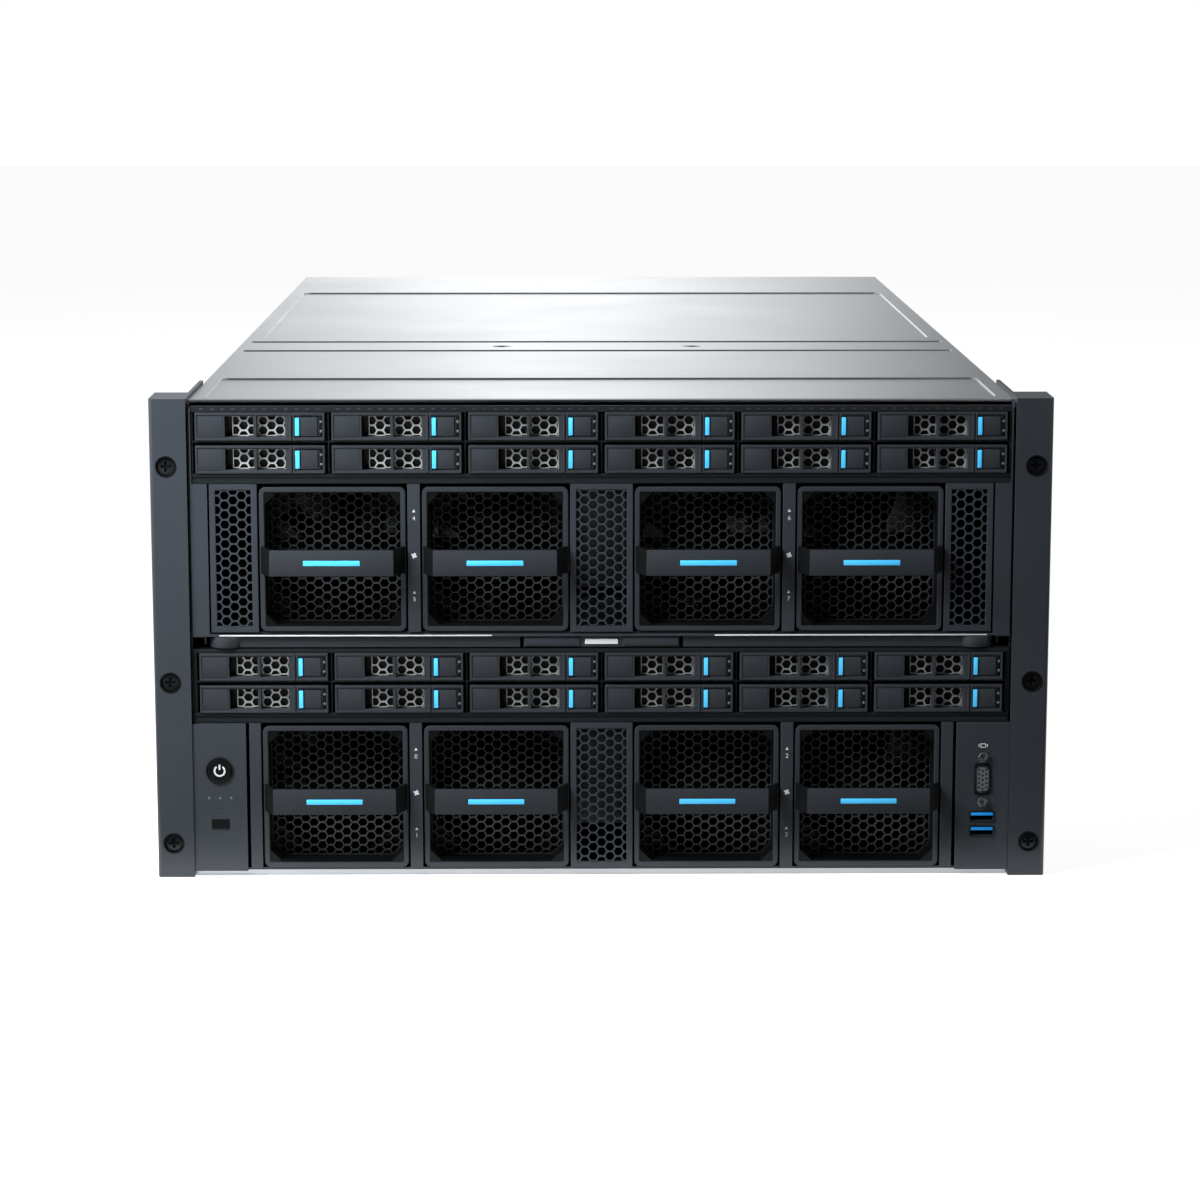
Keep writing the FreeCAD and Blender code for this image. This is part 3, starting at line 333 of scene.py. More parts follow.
def add(tree, kind, inputs=None, **settings):
    """Adds a node with its settings; an input is a value, or the output socket that feeds it."""
    item = tree.nodes.new(kind)
    for name, value in settings.items():
        setattr(item, name, value)
    for name, value in (inputs or {}).items():
        if isinstance(value, bpy.types.NodeSocket):
            tree.links.new(value, item.inputs[name])
        else:
            item.inputs[name].default_value = value
    return item


def mixed(tree, operation, *values, kind="ShaderNodeMath", **settings):
    """Result of a math node on values or sockets, in their order."""
    return add(tree, kind, dict(enumerate(values)), operation=operation, **settings).outputs[0]


def mapped(tree, value, low, high, first, last):
    """Result of a map that turns low into first and high into last."""
    ends = {"From Min": low, "From Max": high, "To Min": first, "To Max": last}
    return add(tree, "ShaderNodeMapRange", {"Value": value, **ends}).outputs["Result"]


def noise(tree, place, cell_mm, detail):
    """Noise with cells of the given size."""
    settings = {"Vector": place, "Scale": 1000 / cell_mm, "Detail": detail}
    return add(tree, "ShaderNodeTexNoise", settings).outputs["Fac"]


def inside(tree, place, zone):
    """1 within a box of metres and 0 outside it, by the distance from its middle on each axis."""
    axes = add(tree, "ShaderNodeSeparateXYZ", {"Vector": place}).outputs
    mask = 1.0
    for axis, (low, high) in zone.items():
        value = axes[axis.strip("|")]
        if axis.startswith("|"):
            value = mixed(tree, "ABSOLUTE", value)
        near = mixed(tree, "COMPARE", value, (low + high) / 2, (high - low) / 2)
        mask = mixed(tree, "MULTIPLY", near, mask)
    return mask


def finish(name, colour, roughness, grain_mm, bump, metallic=0.0, patch=0.12, patch_mm=60, stretch=(1, 1, 1),
           zones=(), **sockets):
    """A finish: slow patches vary its colour and gloss, and a fine grain is its bump. Inside each zone it has
    the colour, roughness and metallic given with that zone."""
    tree = surface(name)[1]
    place = add(tree, "ShaderNodeTexCoord").outputs["Object"]
    slow = noise(tree, place, patch_mm, detail=3)
    shade = mapped(tree, slow, *PATCH_RANGE, 1 - patch, 1 + patch)
    gloss = mapped(tree, slow, *PATCH_RANGE, roughness * (1 - GLOSS_SWING), roughness * (1 + GLOSS_SWING))
    tone, metal = tuple(colour), metallic
    for zone, (other, dull, other_metal) in zones:
        mask = inside(tree, place, zone)
        change = tuple(np.subtract(other, colour))
        tone = mixed(tree, "MULTIPLY_ADD", mask, change, tone, kind="ShaderNodeVectorMath")
        gloss = mixed(tree, "MULTIPLY_ADD", mask, dull - roughness, gloss)
        metal = mixed(tree, "MULTIPLY_ADD", mask, other_metal - metallic, metal)
    base = mixed(tree, "MULTIPLY", tone, shade, kind="ShaderNodeVectorMath")
    scaled = add(tree, "ShaderNodeMapping", {"Vector": place, "Scale": stretch}).outputs["Vector"]
    grain = noise(tree, scaled, grain_mm, detail=2)
    relief = add(tree, "ShaderNodeBump", {"Height": grain, "Strength": bump, "Distance": grain_mm / 4000})
    shader = add(tree, "ShaderNodeBsdfPrincipled", {
        "Base Color": base, "Roughness": gloss, "Metallic": metal, "Normal": relief.outputs["Normal"],
        **sockets})
    add(tree, "ShaderNodeOutputMaterial", {"Surface": shader.outputs["BSDF"]})


# Finish of CAD nodes by the start of their names
NODE_FINISH = {
    ZINC: "top_cover",
    "zinc_sheet_dark_front_edges": "chassis_tub",
    "zinc_case_with_moulded_handle": "power_supply",
    COAT: ("rack_ear", "upper_tray", "control_panel", "io_panel"),
    "powder_steel_with_painted_bay_shade": ("lower_cage", "upper_cage"),
    ABS: ("lever_left", "lever_right"),
    "bezel_with_painted_window_shade": ("upper_drive", "lower_drive"),
    "matt_black_pbt": ("upper_fan", "lower_fan", "upper_rotor", "lower_rotor"),
    PBT: ("power_button", "uid_button"),
    "black_oxide_steel": "rack_screws",
    "solder_resist_board": ("lower_system_board", "upper_system_board"),
    "blasted_nickel": "lever_latch",
}


class SERVER_OT_finishes(bpy.types.Operator):
    """Makes the finishes and gives each CAD node its own, with broken edges"""
    bl_idname = "server.finishes"
    bl_label = "Finishes"

    def execute(self, context):
        colours = context.scene.server_colours
        ears = EAR_PLANE / 1000
        # Colour, roughness and metallic of the zones
        # black colours both the painted shade behind the drive windows and a supply's real handle
        coat, black = (colours.coat, 0.46, 0.0), (colours.abs_black, 0.45, 0.0)
        # dark is painted shade in the cage's gaps round the drives
        dark, steel = (colours.coat_dark, 0.5, 0.0), (srgb("8e9194"), 0.42, 0.9)
        bare = (srgb("b9bcbe"), 0.4, 1.0)
        peel = {"grain_mm": 0.7, "bump": 0.25, "patch": 0.08}
        sheet_metal = {"metallic": 1.0, "grain_mm": 1.2, "bump": 0.06}
        rolled = {"patch_mm": 90, "stretch": (1, 0.05, 1), **sheet_metal}
        # Powder coat: a dull dark skin with a fine peel
        finish("powder_coated_steel", colours.coat, 0.46, **peel)
        # Black powder coat
        finish("black_powder_coated_steel", colours.coat_dark, 0.5, **peel)
        # Cage: powder-coated posts, and painted shade, a blacker tone, in the gaps round the drives
        finish("powder_steel_with_painted_bay_shade", colours.coat, 0.46, **peel,
               zones=[({"Z": (0.0855, 0.1303)}, dark), ({"Z": (0.216, 0.27)}, dark)])
        # Moulded ABS with a spark-eroded grain
        finish("grained_moulded_abs", colours.abs_grey, 0.5, grain_mm=0.5, bump=0.3, patch=0.06)
        # Fans: black PBT moulded in an eroded tool, with hardly any gloss
        finish("matt_black_pbt", colours.abs_black, 0.55, grain_mm=0.6, bump=0.2, patch=0.06,
               **{"Specular IOR Level": 0.2})
        # Drive: moulded bezel, painted shade in black behind its windows, then a pressed steel carrier
        finish("bezel_with_painted_window_shade", colours.abs_grey, 0.5, grain_mm=0.5, bump=0.25, patch=0.06,
               zones=[({"Y": (ears + 0.006, ears + 0.01195)}, black), ({"Y": (ears + 0.01195, 1)}, steel)])
        # Black PBT moulded in a polished tool: slightly glossy
        finish("polished_black_pbt", colours.abs_black, 0.42, grain_mm=1.5, bump=0.1,
               **{"Specular IOR Level": 0.3})
        # Zinc-plated sheet: satin with soft clouds and faint rolling lines
        finish("zinc_plated_sheet", colours.zinc, 0.36, patch=0.05, **rolled)
        # Zinc-plated tub, in the coat's dark colour at its front edges above a bright hem
        finish("zinc_sheet_dark_front_edges", colours.zinc, 0.38, patch=0.06, **rolled,
               zones=[({"Y": (-1, ears + 0.014), "Z": (0.0045, 1)}, coat)])
        # Zinc-plated case of a power supply with a black moulded handle
        finish("zinc_case_with_moulded_handle", colours.zinc, 0.38, patch=0.05, **sheet_metal,
               zones=[({"Y": (ears + 0.8542, 2)}, black)])
        # Nickel-plated steel: bright, small highlights
        finish("nickel_plated_steel", colours.nickel, 0.38, metallic=1.0, grain_mm=0.8, bump=0.1, patch=0.08)
        # Bead-blasted nickel: pale and even, with no mirror
        finish("blasted_nickel", colours.blasted, 0.55, metallic=0.3, grain_mm=0.4, bump=0.15, patch=0.04)
        # Etched stainless mesh: pale grey metal that glints on one side
        finish("etched_stainless_mesh", colours.mesh, 0.34, metallic=0.5, grain_mm=0.5, bump=0.15, patch=0.1)
        # Phosphated steel: matt dark grey, a little mottled
        finish("phosphated_steel", colours.phosphate, 0.6, grain_mm=0.4, bump=0.2, patch=0.15, patch_mm=25)
        # Blue polycarbonate bar: bright blue with a painted glow, though no lamp lights it
        finish("dyed_polycarbonate_bar", colours.cyan, 0.35, grain_mm=0.6, bump=0.05, patch=0.03,
               **{"Emission Color": (*colours.cyan, 1), "Emission Strength": 0.15})
        # Frosted polycarbonate lens: dull grey while its lamp is off
        finish("frosted_polycarbonate_lens", colours.frost, 0.45, grain_mm=0.3, bump=0.1, patch=0.05)
        # Moulded blue PBT of the socket tongues and release tabs, with a painted glow though no lamp lights
        # them
        finish("blue_pbt_with_painted_glow", colours.socket, 0.4, grain_mm=0.6, bump=0.1, patch=0.05,
               **{"Emission Color": (*colours.socket, 1), "Emission Strength": 0.12})
        # Screen-printed ink: matt pale marks
        finish("screen_printed_ink", colours.ink, 0.6, grain_mm=0.3, bump=0.1, patch=0.05)
        # Solder resist over glass fibre, and bare aluminium where the heat sinks stand
        finish("solder_resist_board", colours.board, 0.4, grain_mm=0.8, bump=0.2, patch=0.1,
               zones=[({"|X|": (0.0555, 0.1345), "Y": (ears + 0.205, ears + 0.515), "Z": (0.1447, 0.3)},
                       bare)])
        # Black-oxide steel screws: dark metal with worn gloss
        finish("black_oxide_steel", srgb("303336"), 0.34, metallic=0.8, grain_mm=0.5, bump=0.1)
        soft = sizes(context)["edge_break"] / 1000
        for name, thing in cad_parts.items():
            material = next(key for key, starts in NODE_FINISH.items() if name.startswith(starts))
            thing.material_slots[0].material = bpy.data.materials[material]
            weld = thing.modifiers.new("weld", "WELD")
            weld.merge_threshold = WELD_REACH
            # A bevel's hardened normals draw lines across this large flat face
            if name == "control_panel":
                continue
            bevel = thing.modifiers.new("edge_break", "BEVEL")
            bevel.width, bevel.segments = soft, 2
            bevel.limit_method, bevel.angle_limit = "ANGLE", np.radians(BEVEL_ANGLE)
            bevel.harden_normals = True
        return {"FINISHED"}


# Lid

LID_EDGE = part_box("top_cover")[1].x * 1000
LID_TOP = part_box("top_cover")[1].z * 1000
LID_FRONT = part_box("top_cover")[0].y * 1000 - EAR_PLANE
LID_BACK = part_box("top_cover")[1].y * 1000 - EAR_PLANE
# Thickness, what pressing takes from it, radius of the front fold and the straight edge below it
LID_SHEET, LID_STRETCH, LID_FOLD, LID_HEM = 1.2, 0.4, 1.3, 0.2
# Front, back, half width, corner radius and share of the full depth of each pressed panel, groove and rib
LID_PANELS = ((16.6, 17.6, 221.2, 0.3, 0.45), (28, 122, 213.5, 5, 1.0), (272.6, 281.6, 217, 1.5, 1.0),
              (328.6, 337.6, 217, 1.5, 1.0), (360, 707, 211.5, 6, 1.0))
LID_DIMPLES = ((-59, 304), (59, 304))
DIMPLE_RADIUS, DIMPLE_SQUASH = 5, 1.1
PANEL_SLOPE, DIMPLE_SLOPE = 0.6, 1.2
# Start, end and count of the grid lines across one half, and back
LID_ACROSS = ((0, 50, 6), (53, 65, 19), (75, 200, 8), (205, 218.5, 19), (220, LID_EDGE, 2))
LID_ALONG = ((15.6, 20, 5), (24, 34, 15), (40, 110, 8), (115, 124, 13), (135, 270, 8), (271, 284, 9),
             (298, 310, 19), (327, 340, 9), (350, 367, 22), (380, 690, 14), (699, 709, 15),
             (720, LID_BACK, 8))


def step(distance, width):
    """Smooth step: 1 well inside, 0 outside, with a cosine slope of the given width."""
    return 0.5 - 0.5 * np.cos(np.pi * np.clip(0.5 - distance / width, 0, 1))


def lid_recess(x, s, depth):
    """Depth pressed into the lid: smooth steps of the distance to rounded rectangles and to two ovals."""
    recess = np.zeros(np.broadcast(x, s).shape)
    for front, back, half, corner, share in LID_PANELS:
        dx = np.abs(x) - (half - corner)
        ds = np.abs(s - (front + back) / 2) - ((back - front) / 2 - corner)
        apart = np.hypot(np.maximum(dx, 0), np.maximum(ds, 0)) + np.minimum(np.maximum(dx, ds), 0) - corner
        recess = np.maximum(recess, depth * share * step(apart, PANEL_SLOPE))
    for x_mid, s_mid in LID_DIMPLES:
        apart = np.hypot(x - x_mid, (s - s_mid) * DIMPLE_SQUASH) - DIMPLE_RADIUS
        recess = np.maximum(recess, 2 * depth * step(apart, DIMPLE_SLOPE))
    return recess


def lid_lines():
    """Grid lines across and back: close together at the edges of what is pressed, far apart on the flats."""
    edges = np.array([panel[:2] for panel in LID_PANELS]).ravel()
    halves = np.array([panel[2] for panel in LID_PANELS[1:]])
    fine = np.linspace(-0.42, 0.42, 8)
    x = np.concatenate([*(np.linspace(*zone) for zone in LID_ACROSS), (halves[:, None] + fine).ravel()])
    s = np.concatenate([*(np.linspace(*zone) for zone in LID_ALONG), (edges[:, None] + fine).ravel()])
    return np.unique(np.round(np.concatenate([-x, x]), 3)), np.unique(np.round(s, 3))


class SERVER_OT_lid(bpy.types.Operator):
    """Makes the lid as one pressed sheet with a folded front edge"""
    bl_idname = "server.lid"
    bl_label = "Lid"

    def execute(self, context):
        x, s = lid_lines()
        turn = np.linspace(0, np.pi / 2, 7)[:-1]
        start = LID_TOP - LID_FOLD
        rounded = LID_FRONT + LID_FOLD - LID_FOLD * np.cos(turn)[1:]
        path_s = np.concatenate([[LID_FRONT, LID_FRONT], rounded, s])
        path_z = np.concatenate([[start - LID_HEM, start], start + LID_FOLD * np.sin(turn)[1:],
                                 np.full(len(s), LID_TOP)])
        tilt = np.concatenate([[0, 0], turn[1:], np.full(len(s), np.pi / 2)])
        normal = np.stack([-np.cos(tilt), np.sin(tilt)], -1)
        depth = lid_recess(x[None, :], path_s[:, None], sizes(context)["lid_recess"]) * (tilt[:, None] > 1.5)
        top = np.empty((len(path_s), len(x), 3))
        top[..., 0] = x
        top[..., 1:] = np.stack([path_s, path_z], -1)[:, None] - depth[..., None] * normal[:, None]
        under = top.copy()
        thick = LID_SHEET + np.maximum(depth - LID_STRETCH, 0) - depth
        under[..., 1:] -= normal[:, None] * thick[..., None]
        rings = np.concatenate([top, under[:, ::-1]], 1)[None]
        lid = piece("pressed_lid", [(skin(rings), ZINC)], "chassis", sharp=50)
        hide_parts("top_cover")
        return {"FINISHED"}


# Drives

BEZEL_MIDDLE = 7.5
# Middle across, width, height, band, front and back of the raised frames of a bezel
BEZEL_FRAMES = ((25.85, 51.5, 14.8, 1.15, 1.5, 2.1), (60.75, 16.9, 14.8, 1.05, 1.5, 2.7))
# Middle, width, height, front, back, corner and finish of its pad, blue bar, release pad and lamp strip
BEZEL_PLATES = ((8.3, 13.4, 11.2, 1.85, 2.1, 0.4, ABS),
                (54.6, 2.2, 9.5, 1.35, 2.7, 0.2, "dyed_polycarbonate_bar"),
                (60.9, 9.0, 10.2, 1.9, 2.7, 0.5, ABS),
                (67.3, 2.0, 11.0, 2.3, 2.7, 0.3, PBT))
BEZEL_LAMPS = ((67.3, 10.1), (67.3, 5.0))
BEZEL_LENS = ((0.75, 2.5), (0.75, 2.1), (0.5, 1.95), (0.1, 1.9))
# The first mesh stops short of its window's left side, so the painted shade behind it shows there as the
# wall's shadow
MESH_SIDES = ((19.6, 31.6), (32.8, 48.2))
MESH_LOW, MESH_HIGH, MESH_FRONT, MESH_BACK, MESH_ROUND = 1.9, 13.1, 7.6, 9.4, 0.35


class SERVER_OT_drives(bpy.types.Operator):
    """Makes the face of each drive: raised frames, mesh windows, blue bar, release pad and lamps"""
    bl_idname = "server.drives"
    bl_label = "Drive faces"

    def execute(self, context):
        size = sizes(context)
        face = [(frames((x, BEZEL_MIDDLE), *rest), ABS) for x, *rest in BEZEL_FRAMES]
        face += [(slab((x, BEZEL_MIDDLE), *rest), material) for x, *rest, material in BEZEL_PLATES]
        face.append((turned(BEZEL_LAMPS, BEZEL_LENS, 12), LENS))
        for left, right in MESH_SIDES:
            mesh = honeycomb((left, MESH_LOW), (right, MESH_HIGH), size, "mesh", MESH_FRONT, MESH_BACK,
                             MESH_ROUND)
            face.append((mesh, "etched_stainless_mesh"))
        for module in BODY_OF:
            for number in range(1, DRIVE_COLUMNS * DRIVE_ROWS + 1):
                name = f"{module}_drive_{number:02d}"
                left, bottom = node_middle(name)[0] - BEZEL_HALF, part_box(name)[0].z * 1000
                piece(f"{name}_face", moved(face, left, bottom), name)
        return {"FINISHED"}


# Fans

# Name, left, right and module of each air panel
AIR_PANELS = (("upper_centre_panel", -14.0, 14.0, "upper"), ("lower_centre_panel", -14.0, 14.0, "lower"),
              ("upper_left_panel", -207.2, -187.3, "upper"), ("upper_right_panel", 187.3, 207.2, "upper"))
PANEL_LOW, PANEL_HIGH, PANEL_FRONT, PANEL_BACK, BACKING_MIDDLE = 7.9, 82.6, 2.2, 3.1, 57


class SERVER_OT_fans(bpy.types.Operator):
    """Makes the guard and the lip of each fan's mouth, and the face plate and blue bar of its strap"""
    bl_idname = "server.fans"
    bl_label = "Fan guards"

    def execute(self, context):
        size = sizes(context)
        half, front = size["guard_half"], size["guard_set"]
        guard = honeycomb((-half, -half), (half, half), size, "guard", front, front + size["guard_thick"],
                          cut=size["guard_cut"])
        lip = frames((0, 0), size["lip_side"], size["lip_side"], size["lip_band"], front=FAN_FRONT - 0.5,
                     back=FAN_FRONT + SINK, corner=3.4, soft=0.35)
        plate = slab((0, 0), 66.2, 14.0, front=STRAP_FRONT - 0.3, back=STRAP_FRONT + SINK, corner=0.6,
                     soft=0.2)
        bar = slab((0, 0), size["bar_length"], size["bar_height"], front=STRAP_FRONT - 0.42,
                   back=STRAP_FRONT - 0.2, corner=0.3, soft=0.1)
        parts = [(guard, PHOSPHATE), (lip, ABS), (plate, ABS),
                 (bar, "dyed_polycarbonate_bar")]
        for module in BODY_OF:
            for number in range(1, FAN_COLUMNS + 1):
                name = f"{module}_fan_{number}"
                piece(f"{name}_guard", moved(parts, *node_middle(name)), name)
        return {"FINISHED"}


class SERVER_OT_air_panels(bpy.types.Operator):
    """Makes the honeycomb sheets in the posts' windows, and the plates behind the centre ones"""
    bl_idname = "server.air_panels"
    bl_label = "Air panels"

    def execute(self, context):
        size = sizes(context)
        for name, left, right, module in AIR_PANELS:
            lift = MODULE_LIFT[module]
            grid = honeycomb((left, PANEL_LOW + lift), (right, PANEL_HIGH + lift), size, "panel", PANEL_FRONT,
                             PANEL_BACK, PUNCHED)
            parts = [(grid, COAT)]
            if left < 0 < right:
                backing = slab((0, BACKING_MIDDLE + lift), 31, 56, front=5.5, back=6.5)
                parts.append((backing, "black_powder_coated_steel"))
            piece(name, parts, BODY_OF[module])
        return {"FINISHED"}


# Small trim

FIRST_NUMBER = {"upper": 4, "lower": 0}
DIGIT_SIZE, INK = 3.36, 0.06
# Slots over each drive and their step, and the heights of the rows on the shelf and on the header
SLOTS, SLOT_STEP, SHELF_UP, HEADER_UP = 12, 5.65, 108.1, 125.75


def digit(number, front):
    """A printed digit: the outline of the character as a thin plate, centred."""
    curve = bpy.data.curves.new("digit", "FONT")
    curve.body, curve.size, curve.extrude = str(number), DIGIT_SIZE, INK / 2
    curve.align_x, curve.align_y = "CENTER", "CENTER"
    thing = bpy.data.objects.new("digit", curve)
    mesh = bpy.data.meshes.new_from_object(thing)
    flat = np.array([vertex.co for vertex in mesh.vertices])
    points = np.stack([flat[:, 0], front - flat[:, 2], flat[:, 1]], -1)
    faces = [list(polygon.vertices) for polygon in mesh.polygons]
    bpy.data.meshes.remove(mesh)
    bpy.data.objects.remove(thing)
    bpy.data.curves.remove(curve)
    return points, faces


def fan_mark(front):
    """A printed fan wheel: an outline whose radius swells four times in a turn, skewed round its middle."""
    turn = turns(48)
    radius = 0.55 + 1.05 * np.abs(np.sin(2 * turn)) ** 0.7
    return printed(radius[:, None] * around(turn + 0.25 * radius), front, front + INK)


def arrow(front):
    """A printed arrow head: a triangle that points up."""
    return printed(np.array([(-0.9, -0.7), (0.9, -0.7), (0, 0.9)]), front, front + INK)


class SERVER_OT_marks(bpy.types.Operator):
    """Prints the fan numbers, arrows and fan wheels on the posts"""
    bl_idname = "server.marks"
    bl_label = "Post marks"

    def execute(self, context):
        front = POST_FRONT - INK
        for module, first in FIRST_NUMBER.items():
            middle = node_middle(f"{module}_fan_1")[1]
            for place, side, number in (("left", -1, first), ("right", 1, first + 2)):
                parts = []
                for mark, rise in ((arrow(front), 26.4), (digit(number, front), 22.3), (fan_mark(front), 2.2),
                                   (arrow(front), -17.8), (digit(number + 1, front), -21.6)):
                    parts += moved([(mark, PRINT)], side * POST_MARKS_X, middle + rise)
                piece(f"{module}_{place}_post_marks", parts, BODY_OF[module])
        return {"FINISHED"}


class SERVER_OT_header(bpy.types.Operator):
    """Makes the slots over and between the drives, the tray's bright edges and the latch block's plates"""
    bl_idname = "server.header"
    bl_label = "Sheet edges"

    def execute(self, context):
        across = (spaced(DRIVE_COLUMNS, DRIVE_PITCH)[:, None] + spaced(SLOTS, SLOT_STEP)).ravel()
        for module, body in BODY_OF.items():
            lift = MODULE_LIFT[module]
            spots = level(across, SHELF_UP + lift)
            parts = [(slab(spots, 2.6, 0.7, front=3.9, back=4.05, corner=0.35, soft=0.08), ABS)]
            if module == "upper":
                spots = level(across, HEADER_UP + lift)
                header = slab(spots, 2.3, 0.9, front=2.68, back=2.85, corner=0.45, soft=0.1)
                parts.append((header, PHOSPHATE))
            piece(f"{module}_header_slots", parts, body)
        hem = slab([(-132.5, 133.65), (134.5, 133.65)], 147, 0.7, front=1.7, back=2.1, corner=0.3, soft=0.1)
        ends = slab([(-218.55, 238.3), (218.55, 238.3)], 0.7, 31, front=3.7, back=4.1, corner=0.3, soft=0.1)
        spots = [(-26.6, 129.95), (26.6, 129.95)]
        covers = slab(spots, 29.6, 4.7, front=3.25, back=4.05, corner=0.3, soft=0.2)
        piece("tray_front_edges", [(hem, "blasted_nickel"), (ends, PHOSPHATE),
                                   (covers, COAT)], "sled")
        return {"FINISHED"}


SCREW_SPOTS = [(side * 232.55, height) for side in (-1, 1) for height in (19.3, 108.2, 225.675)]
HEAD_RADII = np.array([4.8, 4.8, 4.5, 4.0, 3.3, 2.9, 2.6, 2.2, 1.8, 1.4, 1.0, 0.6, 0.25, 0.02])
HEAD_BACK, CROSS_ARM, CROSS_REACH, CROSS_SLOPE, CROSS_DEPTH = 5.2, 0.55, 2.7, 0.5, 1.7
# Radius and depth of the neck, the ridges and the tip of a screw
THREAD = [(2.4, 5.0), (2.4, 32.0), (2.9, 32.05),
          *((2.9 - 0.3 * (i % 2), s) for i, s in enumerate(np.arange(32.2, 43.2, 0.5))),
          (2.3, 43.9), (0.4, 44.0)]
CUP = ((0, 0.05), (0.1, -0.2), (0.5, -0.25), (0.75, 0.05), (0.75, 1.6), (0, 1.6))


def cross_head(spots):
    """Screw heads: a dome over radius and turn, pressed down near the arms of a cross."""
    rings = HEAD_RADII[:, None, None] * around(turns(64))
    arm = np.abs(rings).min(-1)
    cross = step(arm - CROSS_ARM, CROSS_SLOPE) * step(HEAD_RADII - CROSS_REACH, CROSS_SLOPE)[:, None]
    dome = 1.2 + 0.5 * (HEAD_RADII / HEAD_RADII[0]) ** 2
    depth = dome[:, None] + CROSS_DEPTH * cross
    depth[0] = HEAD_BACK
    return skin(carried(spots, rings, depth))


class SERVER_OT_screws(bpy.types.Operator):
    """Makes the captive screws with crossed heads, necks and threaded ends, and the cups round them"""
    bl_idname = "server.screws"
    bl_label = "Ear screws"

    def execute(self, context):
        steel = "black_oxide_steel"
        parts = [(cross_head(SCREW_SPOTS), steel), (turned(SCREW_SPOTS, THREAD, 20), steel)]
        screws = piece("captive_screws", parts, "chassis", sharp=40)
        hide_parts("rack_screws")
        cups = plates(SCREW_SPOTS, 11.6, 11.6, CUP, corner=5.8, arc=12, looped=True)
        piece("screw_cups", [(cups, PBT)], "chassis")
        return {"FINISHED"}


POWER_SPOT = np.array([-207.0, 59.5])
PANEL_LAMPS = np.array([(-213, 44.3), (-207, 44.3), (-201, 44.3)])
# Radius and depth of the ring round the button, of a lamp, and of the button's rim counted from its face
COLLAR = ((6.75, 1.1), (6.75, 0.45), (6.95, 0.2), (7.3, 0.2), (7.6, 0.5), (7.6, 1.1))
PANEL_LENS = ((0.7, 1.2), (0.7, 0.95), (0.5, 0.9), (0.05, 0.88))
DISH = ((6.2, 0.1), (6.2, -0.25), (5.9, -0.4), (5.5, -0.3), (5.2, 0.1))


class SERVER_OT_controls(bpy.types.Operator):
    """Makes the power button's ring and symbol and the lamps of the control panel"""
    bl_idname = "server.controls"
    bl_label = "Control panel"

    def execute(self, context):
        slots = slab(PANEL_LAMPS + (0, -5.2), 3.6, 1.1, front=0.9, back=1.1, corner=0.5, soft=0.05)
        piece("control_trim", [
            (turned(POWER_SPOT, COLLAR, 48, looped=True), "black_oxide_steel"),
            (turned(PANEL_LAMPS, PANEL_LENS, 16), LENS),
            (slots, ABS)], "chassis")
        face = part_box("power_button")[0].y * 1000 - EAR_PLANE
        front, back = face - 0.12, face + SINK
        arc = arc_band(POWER_SPOT, radius=2.75, width=0.9, first=125, last=415, front=front, back=back)
        bar = plates(POWER_SPOT + (0, 2.05), 0.9, 2.9, [(0, back), (0, front)], corner=0.2)
        piece("power_symbol", [
            (turned(POWER_SPOT, behind(DISH, face), 48, looped=True), PBT),
            (arc, PRINT), (bar, PRINT)], "power_button")
        return {"FINISHED"}


MONITOR_SPOT = np.array([207.0, 54.0])
SIGN_SPOT = np.array([207.0, 72.6])
DATA_SPOTS = np.array([(207.0, 33.2), (207.0, 25.0)])
POST_APART, SOCKET_TAPER, SOCKET_CORNER = 12.5, 1.4, 1.6
# Radius and depth of a hexagon post and of a contact's hole
POST = ((2.75, 1.05), (2.75, -0.6), (2.45, -0.9), (1.5, -0.9), (1.2, -0.6), (1.2, 0.4))
CONTACT = ((0.62, 0.65), (0.62, 0.56), (0.3, 0.54))
# Place across and shift up of each row of five contacts
CONTACT_ROWS = ((-2.0, 0.4), (0.0, -0.5), (2.0, 0.4))


def socket_ring(width, tall):
    """Outline of the monitor socket: a rounded rectangle whose one side is shorter by the taper."""
    ring = outline(width / 2, tall / 2, SOCKET_CORNER)
    ring[:, 1] *= 1 - (ring[:, 0] / width + 0.5) * SOCKET_TAPER / tall
    return ring


